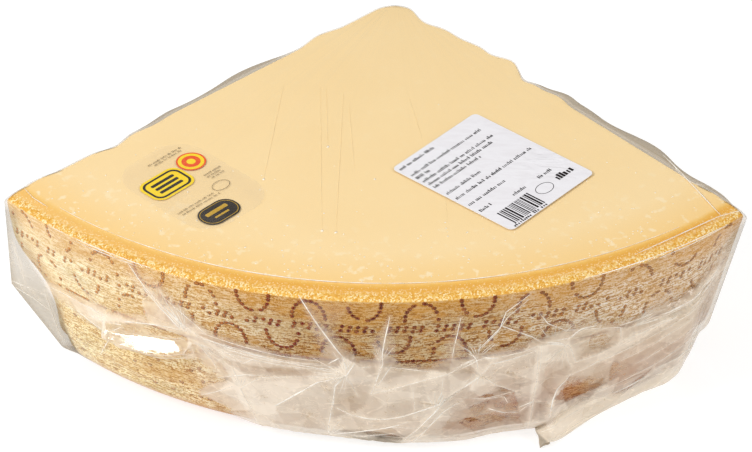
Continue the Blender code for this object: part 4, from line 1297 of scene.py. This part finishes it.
# ---------------------------------------------------------------------------------------------
# The creases: sharp lines where the film is pinched double, whiter than the film beside them, with painted
# highlights along them where the film's folds and bends catch the lamps. They run down the rind from the
# rim, fan out over the folds and follow the rim's inner edge.
# ---------------------------------------------------------------------------------------------
# Over the rind: places as (angle, height in mm) where the crease shows, and its width in mm
CREASES_AND_HIGHLIGHTS = [
    ([(-25, 81), (-22.5, 70), (-20.8, 62.5)], 0.65),
    ([(-26.8, 92), (-24.4, 80), (-21.5, 69), (-19, 61)], 0.45),
    ([(-22.6, 79), (-20, 70), (-17.8, 62.5)], 0.35),
    ([(-39.6, 54.5), (-36, 54.8), (-33, 54.6), (-30.4, 54.5), (-28, 56)], 0.30),
    ([(-35.5, 48.5), (-33.5, 46), (-31, 42)], 0.50),
    ([(-31, 42), (-28.2, 52.5)], 0.45),
    ([(-31.3, 50.5), (-28, 53.8)], 0.60),
    ([(-28, 56), (-25, 59.5), (-22.5, 61.5)], 0.60),
    ([(-34, 24.5), (-31.5, 40)], 0.45),
    ([(-19, 60.5), (-15, 57.5), (-11, 55.5), (-6, 53), (-3, 52.5)], 0.40),
    ([(-17.5, 60), (-12.5, 56.8), (-8, 55), (-4.5, 55.5)], 0.30),
    ([(-18.5, 63), (-14, 60), (-9, 57.5), (-5, 57)], 0.30),
    ([(-18.2, 58.5), (-14, 55.5), (-9.5, 53.6)], 0.28),
    ([(-15.8, 54), (-13.8, 50)], 0.30),
    ([(-14, 49), (-12.3, 54)], 0.30),
    ([(-17.4, 36.5), (-13.8, 42.5), (-10.5, 45)], 0.30),
    ([(-20.4, 20), (-15.6, 33)], 0.28),
    ([(-2.5, 48.8), (-5.5, 44), (-8.5, 33), (-10.6, 25.5)], 0.60),
    ([(-2.6, 48), (-3.6, 42), (-3.8, 33), (-4.6, 18), (-5, 9)], 0.50),
    ([(-7, 95), (-5.4, 82), (-3.8, 70), (-2.6, 61.5), (-2, 53)], 0.60),
    ([(-1.2, 57.5), (-2.1, 50)], 0.50),
    ([(-2.9, 60), (-4.3, 55.5)], 0.55),
    ([(-2.0, 52), (-2.2, 45.5)], 0.30),
    ([(2.7, 85), (2.1, 72), (1.8, 64), (1.8, 57), (1.3, 50), (0.4, 38.5)], 0.60),
    ([(2.8, 56.5), (1.2, 44)], 0.35),
    ([(-1, 55), (1.4, 55.5)], 0.25),
    ([(10.3, 83), (9.6, 66), (9.3, 58)], 0.35),
    ([(8.3, 46), (8.2, 38), (7.4, 29)], 0.30),
    ([(5.0, 42), (5.3, 22)], 0.22),
    ([(10, 67), (11.3, 62.5), (12, 57), (12.2, 50)], 0.35),
    ([(10.6, 39), (8, 31), (6, 27.5), (4, 24), (2, 22.2), (0, 22.3), (-2, 24.5), (-3.5, 28)], 0.50),
    ([(12.3, 46.5), (10.6, 40.5), (8.8, 35), (7.4, 26), (5.6, 16), (3.4, 5)], 0.45),
    ([(10.6, 32), (8.4, 26), (6.5, 15), (4.6, 4)], 0.40),
    ([(-4.7, 9.5), (-1, 13.5), (2.5, 17), (4.5, 20)], 0.50),
    ([(-4, 8), (0, 10.5), (3.4, 13)], 0.30),
    ([(17.8, 91), (15.2, 83), (14.6, 74), (12.2, 62)], 0.42),
    ([(17.6, 88), (15.4, 80), (14.2, 71), (12.6, 63)], 0.28),
    ([(14.7, 75.5), (18.2, 66), (19.4, 61.5), (21.2, 59.5), (22.4, 55.8)], 0.55),
    ([(19, 79), (20, 72), (22, 66), (24, 64)], 0.32),
    ([(25.6, 64.2), (23.8, 65), (22.4, 61), (19.3, 61.5)], 0.60),
    ([(20, 60), (21.6, 57.8), (22, 55.5)], 0.40),
    ([(10, 54.5), (11.9, 57.5)], 0.32),
    ([(9.5, 52.5), (11.8, 57)], 0.32),
    ([(10, 51.5), (12.2, 56.5)], 0.32),
    ([(12.6, 58.5), (13.4, 57), (14.8, 56.4)], 0.50),
    ([(14, 53.5), (16.5, 55), (18.6, 57.5)], 0.35),
    ([(22.6, 36), (21.4, 30), (21, 24), (20.7, 13)], 0.60),
    ([(13, 31.5), (15.3, 31.5), (15.8, 27)], 0.32),
    ([(13.6, 25), (15.5, 20.5), (17, 20)], 0.40),
    ([(17.2, 22.5), (18.8, 25.5)], 0.40),
    ([(18.8, 57), (18.9, 40), (18.4, 22)], 0.22),
    # the bright bundle up to the right corner: its white lines are painted highlights along the folds
    ([(34, 58), (38, 60.5), (41.6, 67)], 0.95),
    ([(30.6, 57), (34.3, 55.5), (36.7, 55), (38.6, 58.5), (40.6, 63.5)], 0.70),
    ([(35, 53.5), (37, 55.5), (38.5, 58.5)], 0.60),
    ([(33.5, 60.5), (37, 62), (40.5, 66.5)], 0.35),
    ([(28.5, 60), (31, 60), (34, 61.5)], 0.35),
    # along the rim's outer edge at both ends: painted highlights where the film bends over it
    ([(-38, 93.6), (-34, 94.0), (-30, 94.1), (-24, 93.8)], 0.45),
    ([(24, 93.6), (30, 94.2), (36, 94.6), (42, 94.9)], 0.50),
    ([(33, 92.6), (37, 93.2), (42, 94.6)], 0.35),
    ([(-34, 92.4), (-29, 92.6), (-25.5, 92.4)], 0.30),
    ([(29.6, 17.6), (31.5, 19.0), (33.6, 21.2)], 0.80),
    # the left corner's web: folds with painted glints on them
    ([(-45, 45), (-42.5, 47), (-39.9, 47.5)], 0.50),
    ([(-44.6, 42), (-42.4, 41), (-40.6, 37)], 0.35),
    ([(-43.6, 48), (-43.2, 41.5)], 0.30),
    ([(-42.2, 46), (-41.2, 41.5)], 0.30),
    ([(-40.2, 50), (-40.4, 40), (-40.8, 28), (-41.6, 18)], 0.45),
    ([(-44.2, 70), (-43.2, 58), (-42.8, 49)], 0.25),
    ([(36.5, 25), (38, 27.5), (39.3, 26.5)], 0.50),
    ([(37.3, 22), (38.5, 26)], 0.40),
]
# Fans of fine wrinkles that run out from a pinched place: where it is, how many, from which to
# which direction in degrees anticlockwise from the right, and how far in mm
WRINKLE_FANS = [
    ((-2.2, 50.5), 9, 150, 210, 17.0),
    ((-2.2, 50.5), 9, 215, 300, 15.0),
    ((-2.2, 52.0), 7, 60, 125, 13.0),
    ((1.6, 58.0), 7, 55, 120, 12.0),
    ((12.2, 57.5), 8, 40, 150, 11.0),
    ((12.4, 50.0), 4, 225, 290, 12.0),
    ((20.6, 60.0), 6, 30, 150, 13.0),
    ((21.8, 56.0), 7, 200, 290, 16.0),
    ((30.2, 57.0), 8, 10, 45, 26.0),
    ((-20.0, 61.0), 8, 100, 135, 26.0),
    ((-19.0, 57.0), 8, 300, 350, 20.0),
    ((-29.5, 54.0), 7, 150, 200, 22.0),
    ((7.5, 27.0), 7, 50, 110, 14.0),
    ((38.5, 27.0), 7, 30, 80, 15.0),
    ((-14.5, 33.0), 6, 60, 130, 14.0),
    ((-4.8, 9.5), 8, 30, 110, 13.0),
]
WRINKLE_WIDTH = 0.20          # mm
FOLD_LINE_WIDTH = 0.26
FOLD_LINE_FROM = 1.6          # only folds that stand off more than this show a line, in mm
CREASE_GLOW = 0.16            # how much milkier the film is right beside a crease
GLOW_REACH = 1.2              # mm

# On the flat top: points from the wheel's axis in mm, and the crease's width in mm
TOP_CREASES = [
    ([(123, -118), (131, -131), (140, -147), (148, -161)], 0.60),
    ([(126, -122), (131, -133), (137, -139), (144, -140)], 0.35),
    ([(157, -157), (147, -162), (131, -175), (112, -190)], 0.50),
    ([(-152, -153), (-147, -160), (-139, -167)], 0.35),
]
# Along the seam: how far out to its outer edge, and the line's width in mm
HEM_LINES = [(HEM, 0.30), (0.94, 0.26), (1.0, 0.36), (0.30, 0.18)]
# The rim's inner edge: a white line painted as the highlight where the film bends over the rim
RIM_HIGHLIGHT_INSET = 0.0108
RIM_HIGHLIGHT_WIDTH = 0.48
RIM_HIGHLIGHT_ENDS = (-39.0, 38.0)   # degrees

# The same film pinched double: nearly white, with the film's own gloss. The white also stands as painted
# highlight along folds and bends.
crease_and_highlight_surface, add, shader = new_material("creased polyethylene film, with painted highlights")
place = add("TexCoord", out="Object")
breaks = add("TexNoise", {"Vector": place, "Scale": 130.0, "Detail": 3.0})
cover = add("MapRange", [breaks, 0.36, 0.62, 0.18, 0.92])
set_inputs(shader, {"Base Color": "#fffaf0", "Alpha": cover, "Roughness": 0.32, "IOR": 1.5})


def on_film(spot):
    """The place on the film that shows at this angle and height against the rind."""
    angle = math.radians(spot[0])
    height = spot[1] / 1000
    for _ in range(4):
        radius = float(film_front(angle, height)[0])
        height = spot[1] / 1000 + SEEN_DROP * max(radius - float(rind_radius(height)), 0.0)
    radius += 0.0001
    return radius * math.sin(angle), AXIS_Y - radius * math.cos(angle), height


chance = random.Random(17)
lines = list(CREASES_AND_HIGHLIGHTS)
for (middle, level), count, first_way, last_way, reach in WRINKLE_FANS:
    for step in range(count):
        way = math.radians(mix(first_way, last_way, (step + chance.uniform(0.1, 0.9)) / count))
        start, end = chance.uniform(0.6, 3.0), reach * chance.uniform(0.45, 1.0)
        bend = chance.uniform(-0.12, 0.12)
        path = []
        for share in (0.0, 0.5, 1.0):
            gone = mix(start, end, share)
            turned = way + bend * share
            across = 180 * gone * math.cos(turned) / (1000 * WHEEL_RADIUS * math.pi)
            path.append((middle + across, level + gone * math.sin(turned)))
        lines.append((path, WRINKLE_WIDTH * chance.uniform(0.7, 1.3)))
for chain in FOLD_CHAINS:
    raised = [spot for spot in chain if spot[2] >= FOLD_LINE_FROM and abs(spot[0]) < 43]
    if len(raised) > 1:
        lines.append(([spot[:2] for spot in raised], FOLD_LINE_WIDTH))
crease_points, crease_edges, crease_widths = chains(
    [path for path, _ in lines], 0.7, on_film, [width / 2000 for _, width in lines]
)
rim_radius = 1000 * (WHEEL_RADIUS - RIM_HIGHLIGHT_INSET)
rim_turns = [math.radians(angle) for angle in np.arange(*RIM_HIGHLIGHT_ENDS, 1.5)]
rim_arc = [(rim_radius * math.sin(turn), -rim_radius * math.cos(turn)) for turn in rim_turns]
top_paths = [path for path, _ in TOP_CREASES] + [rim_arc]
top_widths = [width / 2000 for _, width in TOP_CREASES] + [RIM_HIGHLIGHT_WIDTH / 2000]
more_points, more_edges, more_widths = chains(
    top_paths, 2.0, lambda spot: (spot[0] / 1000, AXIS_Y + spot[1] / 1000, TOP + 0.00005), top_widths
)
shift = len(crease_points)
crease_edges += [(first + shift, second + shift) for first, second in more_edges]
crease_values = {"Material": crease_and_highlight_surface, "Sides": 6}
hem_points, hem_edges, hem_widths = [], [], []
for share, width in HEM_LINES:
    row = round(share * SEAM_ROWS)
    first = len(hem_points)
    hem_points += [tuple(spot) for spot in seam_front[EAR_STEPS:, row]]
    hem_widths += [width / 2000] * SEAM_COLUMNS
    hem_edges += [(first + step, first + step + 1) for step in range(SEAM_COLUMNS - 1)]
shift += len(more_points)
crease_edges += [(first + shift, second + shift) for first, second in hem_edges]
creases = grow(
    "film_creases_and_highlights",
    crease_points + more_points + hem_points,
    {"half_width": crease_widths + more_widths + hem_widths},
    ridge_tree("film creases and highlights", 0.8),
    crease_values,
    crease_edges,
)
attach(creases, "root")

crease_spots = np.array(crease_points)
film_layer = film.data.attributes["haze"].data
hazes = np.zeros(len(film_layer), dtype=np.float32)
film_layer.foreach_get("value", hazes)
nearest = kdtree.KDTree(len(crease_spots))
for index, spot in enumerate(crease_spots):
    nearest.insert(spot, index)
nearest.balance()
gaps = np.array([nearest.find(point)[2] for point in film_points]) * 1000
glow = CREASE_GLOW * np.exp(-((gaps / GLOW_REACH) ** 2))
film_layer.foreach_set("value", np.clip(hazes + glow, 0.0, MOST_HAZE).astype(np.float32))

# ---------------------------------------------------------------------------------------------
# The paper label: white satin paper from a scale's printer, stuck on the film and slightly
# cockled. The print is black: rows of short strokes, upright bars and a small oval.
# ---------------------------------------------------------------------------------------------
PAPER_CENTRE = (0.0498, AXIS_Y - 0.1332)
PAPER_TURN = math.radians(-38.4)
PAPER_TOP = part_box("paper_label")[1][2]
PRINT_LIFT = 0.00003

# White satin paper: matt, a cool white, puckered at one place by cockles about 10 mm long.
paper_surface, add, shader = new_material("white satin label paper")
place = add("TexCoord", out="Object")
turned = add("Mapping", {0: place, "Rotation": (0, 0, 0.5), "Scale": (70.0, 190.0, 1.0)})
cockle = add("TexNoise", {"Vector": turned, "Scale": 1.0, "Detail": 3.0, "Distortion": 1.5})
paper = add("ValToRGB", [cockle], stops=[(0.35, "#e9e6e9"), (0.6, "#eeecef")])
far_off = add("VectorMath", [place, (0.075, AXIS_Y - 0.125, TOP)], out="Value", operation="DISTANCE")
puckered = add("MapRange", [far_off, 0.006, 0.020, 0.85, 0.05])
cockled = add("Bump", {"Strength": puckered, "Distance": 0.0010, "Height": cockle})
set_inputs(shader, {"Base Color": paper, "Normal": cockled, "Roughness": 0.5})
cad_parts["paper_label"].material_slots[0].material = paper_surface

PAPER_LINES = [          # how far down in mm, where each line starts and ends across in mm
    (-31.0, -25.6, -4.0),
    (-24.4, -25.6, 19.5),
    (-21.2, -25.6, -18.0),
    (-17.6, -25.6, 20.0),
    (-14.4, -25.6, 16.5),
    (-11.2, -25.6, 4.0),
    (-4.0, -25.6, -3.0),
    (1.4, -25.6, 23.0),
    (8.4, -25.6, -2.0),
    (15.0, -25.6, -19.0),
    (18.0, -7.6, 1.0),
    (18.2, 9.0, 17.0),
]
LETTER_PITCH = 0.95          # mm from one stroke of print to the next
STROKE = (0.46, 1.85)        # mm wide and high
# Upright bars near the lower edge: their ends across, how far down, and how high, in mm
BARS_START = -22.5
BARS_END = -3.5
BARS_DOWN = 26.8
BARS_HIGH = 10.6
# The oval ring: across, down, wide, high in mm, and the width of its line
PAPER_OVAL = (4.8, 25.2, 9.6, 6.8)
OVAL_LINE = 0.3


def label_place(centre, turn):
    """Turns (across, down) in mm on a label into a place. Across runs along the print's lines."""
    down_way = np.array([math.cos(turn), math.sin(turn)])
    across_way = np.array([-math.sin(turn), math.cos(turn)])
    return lambda across, down: np.array(centre) + (across_way * across + down_way * down) / 1000


def print_strokes(lines, pitch, stroke, chance):
    """Rows of short upright strokes in groups of three to nine: (across, down, wide, high)."""
    strokes = []
    for down, start, end in lines:
        across, left = start, chance.randint(3, 9)
        while across < end:
            high = stroke[1] * chance.choice((0.62, 0.70, 1.0))
            wide = stroke[0] * chance.uniform(0.8, 1.5)
            strokes.append((across, down + (stroke[1] - high) / 2, wide, high))
            across += pitch * chance.uniform(0.85, 1.1)
            left -= 1
            if left == 0:
                across += pitch
                left = chance.randint(3, 9)
    return strokes


def stamp_print(name, strokes, place_of, turn, level, material):
    """One flat rectangle for each stroke, set out by the stamping nodes."""
    points = [(*place_of(across, down), level) for across, down, _, _ in strokes]
    vectors = {
        "out": [(0.0, 0.0, 1.0)] * len(points),
        "way": [(-math.sin(turn), math.cos(turn), 0.0)] * len(points),
        "size": [(wide / 1000, high / 1000, 1.0) for _, _, wide, high in strokes],
    }
    tree = stamp_tree(name + " stamping", "GeometryNodeMeshGrid", {0: 1.0, 1: 1.0, 2: 2, 3: 2})
    return grow(name, points, vectors, tree, {"Material": material, "Width": 1.0})


def ink(name, colour, worn_colour):
    """Label ink: an even film of colour, slightly thinner in places."""
    stops = [(0.42, colour), (0.75, worn_colour)]
    return mottled_material(name, 900.0, stops, {"Roughness": 0.5, "Specular IOR Level": 0.12})


chance = random.Random(21)
black_ink = ink("black thermal print", "#120c0c", "#2e2424")
strokes = print_strokes(PAPER_LINES, LETTER_PITCH, STROKE, chance)
across = BARS_START
while across < BARS_END:
    wide = chance.choice((0.35, 0.45, 0.75, 1.1))
    strokes.append((across + wide / 2, BARS_DOWN, wide, BARS_HIGH))
    across += wide + chance.choice((0.40, 0.55, 0.75))
strokes += print_strokes([(33.0, -24.0, -3.5)], 1.3, (0.6, 1.6), chance)
strokes += print_strokes([(24.4, 14.0, 24.0)], 1.75, (1.0, 3.8), chance)
place_of = label_place(PAPER_CENTRE, PAPER_TURN)
paper_print = stamp_print("paper_print", strokes, place_of, PAPER_TURN, PAPER_TOP + PRINT_LIFT, black_ink)
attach(paper_print, "root")


def oval(across, down, wide, high, count=40):
    turns = np.arange(count) / count * 2 * math.pi
    return [(across + wide / 2 * math.cos(turn), down + high / 2 * math.sin(turn)) for turn in turns]


def rounded_box(across, down, wide, high, corner):
    outline = []
    for quarter, (x_sign, y_sign) in enumerate(((1, 1), (-1, 1), (-1, -1), (1, -1))):
        x = across + x_sign * (wide / 2 - corner)
        y = down + y_sign * (high / 2 - corner)
        for turn in np.linspace(quarter, quarter + 1, 7) * math.pi / 2:
            outline.append((x + corner * math.cos(turn), y + corner * math.sin(turn)))
    return outline


def printed_shapes(name, shapes, place_of, level, material):
    """Flat printed shapes. Each is an outline, or an outline with the hole's outline inside it."""
    points, faces = [], []
    for shape in shapes:
        outline, hole = shape if isinstance(shape, tuple) else (shape, None)
        first = len(points)
        count = len(outline)
        points += [(*place_of(*spot), level) for spot in outline]
        if hole is None:
            faces.append(tuple(range(first, first + count))[::-1])
            continue
        points += [(*place_of(*spot), level) for spot in hole]
        for here in range(count):
            after = (here + 1) % count
            faces.append((first + after, first + here, first + count + here, first + count + after))
    return new_piece(name, points, faces, material)


across, down, wide, high = PAPER_OVAL
ring = (oval(*PAPER_OVAL), oval(across, down, wide - 2 * OVAL_LINE, high - 2 * OVAL_LINE))
paper_oval = printed_shapes("paper_oval", [ring], place_of, PAPER_TOP + PRINT_LIFT, black_ink)
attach(paper_oval, "root")

# ---------------------------------------------------------------------------------------------
# The clear label: a printed foil with round ends, stuck on the film at the left of the top. Its
# print is fields of yellow, orange red, black and gold in plain shapes, with brown fine print.
# ---------------------------------------------------------------------------------------------
CLEAR_CENTRE = (-0.0790, AXIS_Y - 0.1490)
CLEAR_TURN = math.radians(-41.0)
UNDER_FOIL = TOP + 0.00006    # the foil is printed on its underside
LAYER = 0.00002

# Clear polypropylene label foil: the faintest grey cast over the paste and a soft shine.
foil_surface, add, shader = new_material("clear polypropylene label foil")
place = add("TexCoord", out="Object")
waves = add("TexNoise", {"Vector": place, "Scale": 60.0, "Detail": 2.0})
cast = add("MapRange", [waves, 0.3, 0.7, 0.02, 0.05])
set_inputs(shader, {"Base Color": "#d8cdc6", "Alpha": cast, "Roughness": 0.25, "IOR": 1.49})
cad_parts["clear_label"].material_slots[0].material = foil_surface

place_of = label_place(CLEAR_CENTRE, CLEAR_TURN)
yellow_ink = ink("yellow label ink", "#fad91e", "#f6cf1a")
dark_ink = ink("black label ink", "#17130f", "#2a241d")
red_ink = ink("orange red label ink", "#ea4a1c", "#ee6a22")
gold_ink = ink("gold label ink", "#c8a02c", "#b48c24")
brown_ink = ink("brown label ink", "#6a5638", "#84704c")

# Across and down in mm: a framed field with three bars, a round field, a field with two bars
mark = (-6.5, -9.5)
seal = (12.0, -14.0)
badge = (-5.0, 21.5)
yellow_shapes = [
    rounded_box(*mark, 23.0, 16.0, 5.0),
    (oval(*seal, 11.6, 11.6), oval(*seal, 8.4, 8.4)),
    oval(*seal, 4.0, 4.0),
]
dark_shapes = [
    (rounded_box(*mark, 20.6, 13.6, 4.0), rounded_box(*mark, 18.4, 11.4, 3.2)),
    rounded_box(mark[0], mark[1] - 2.9, 13.0, 1.7, 0.6),
    rounded_box(mark[0], mark[1], 13.0, 1.7, 0.6),
    rounded_box(mark[0], mark[1] + 2.9, 13.0, 1.7, 0.6),
    rounded_box(*badge, 20.0, 13.0, 6.0),
]
gold_shapes = [
    (rounded_box(*badge, 18.4, 11.4, 5.3), rounded_box(*badge, 17.8, 10.8, 5.0)),
    rounded_box(badge[0], badge[1] - 1.6, 12.0, 2.2, 0.4),
    rounded_box(badge[0], badge[1] + 2.0, 8.0, 1.1, 0.3),
]
fields = [
    ("label_red", [oval(*seal, 13.2, 13.2)], red_ink, 1),
    ("label_yellow", yellow_shapes, yellow_ink, 2),
    ("label_black", dark_shapes, dark_ink, 3),
    ("label_gold", gold_shapes, gold_ink, 4),
    ("label_brown", [(oval(9.0, 8.0, 9.0, 6.4), oval(9.0, 8.0, 8.5, 5.9))], brown_ink, 1),
]
for name, shapes, colour, layer in fields:
    field = printed_shapes(name, shapes, place_of, UNDER_FOIL + layer * LAYER, colour)
    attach(field, "root")

CLEAR_LINES = [
    (-25.2, -3.0, 16.0),
    (-23.4, -1.0, 15.0),
    (-2.4, 9.0, 18.5),
    (-0.6, 9.0, 17.0),
    (1.2, 10.0, 18.0),
    (9.6, -18.0, 3.0),
    (11.6, -17.0, 4.5),
]
strokes = print_strokes(CLEAR_LINES, 0.62, (0.24, 1.0), random.Random(8))
level = UNDER_FOIL + LAYER
fine_print = stamp_print("clear_fine_print", strokes, place_of, CLEAR_TURN, level, brown_ink)
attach(fine_print, "root")

# ---------------------------------------------------------------------------------------------
# The studio: a pale floor, soft light from both sides and above, and the photograph's view.
# ---------------------------------------------------------------------------------------------
FLOOR_RADIUS = 3.5
FLOOR_CORNERS = 64
FLOOR_DROP = 0.0002           # below the part, so that the two don't share a plane
# A backlit white acrylic table: it lights the foot from below and drowns most of the shadow.
floor_stops = [(0.3, "#a8a8a8"), (0.7, "#acacac")]
lit = {"Roughness": 0.9, "Emission Color": "#ffffff", "Emission Strength": 0.72}
floor_surface = mottled_material("backlit white acrylic table", 3.0, floor_stops, lit)
floor_ring = oval(0, 0, 2 * FLOOR_RADIUS, 2 * FLOOR_RADIUS, FLOOR_CORNERS)
floor_points = [(*spot, -FLOOR_DROP) for spot in floor_ring]
floor = new_piece("floor", floor_points, [tuple(range(FLOOR_CORNERS))], floor_surface)

world = bpy.data.worlds.new("studio")
world.use_nodes = True
set_inputs(world.node_tree.nodes["Background"], {"Color": "#ffffff", "Strength": 0.50})
bpy.context.scene.world = world
bpy.context.scene.view_settings.view_transform = "Standard"


def softbox(name, azimuth, elevation, distance, size, power):
    """A square area light, in degrees, metres and watts. Azimuth 0 faces the rind, more is right."""
    light = bpy.data.lights.new(name, "AREA")
    light.size = size
    light.energy = power
    lamp = bpy.data.objects.new(name, light)
    level = math.cos(math.radians(elevation))
    side = math.radians(azimuth)
    away = Vector((level * math.sin(side), -level * math.cos(side), math.sin(math.radians(elevation))))
    lamp.location = away * distance
    lamp.rotation_euler = away.to_track_quat("Z", "Y").to_euler()
    bpy.context.scene.collection.objects.link(lamp)


softbox("key", -56.0, 42.0, 1.6, 0.50, 13.5)
softbox("fill", 60.0, 38.0, 1.6, 0.40, 5.0)
softbox("overhead", 0.0, 84.0, 1.7, 1.0, 2.0)

VIEW_YAW = math.radians(4.49)
VIEW_PITCH = math.radians(36.85)
VIEW_ROLL = math.radians(-1.355)
VIEW_DISTANCE = 1.8
VIEW_SENSOR = 36.0
VIEW_LENS = 202.5
VIEW_TARGET = Vector((0.00174, -0.06176, TOP))
camera = bpy.data.objects.new("camera", bpy.data.cameras.new("camera"))
camera.data.sensor_width = VIEW_SENSOR
camera.data.lens = VIEW_LENS
level = math.cos(VIEW_PITCH)
away = Vector((math.sin(VIEW_YAW) * level, -math.cos(VIEW_YAW) * level, math.sin(VIEW_PITCH)))
camera.location = VIEW_TARGET + away * VIEW_DISTANCE
turned = away.to_track_quat("Z", "Y")
turned.rotate(Quaternion(away, VIEW_ROLL))
camera.rotation_euler = turned.to_euler()
bpy.context.scene.collection.objects.link(camera)
bpy.context.scene.camera = camera
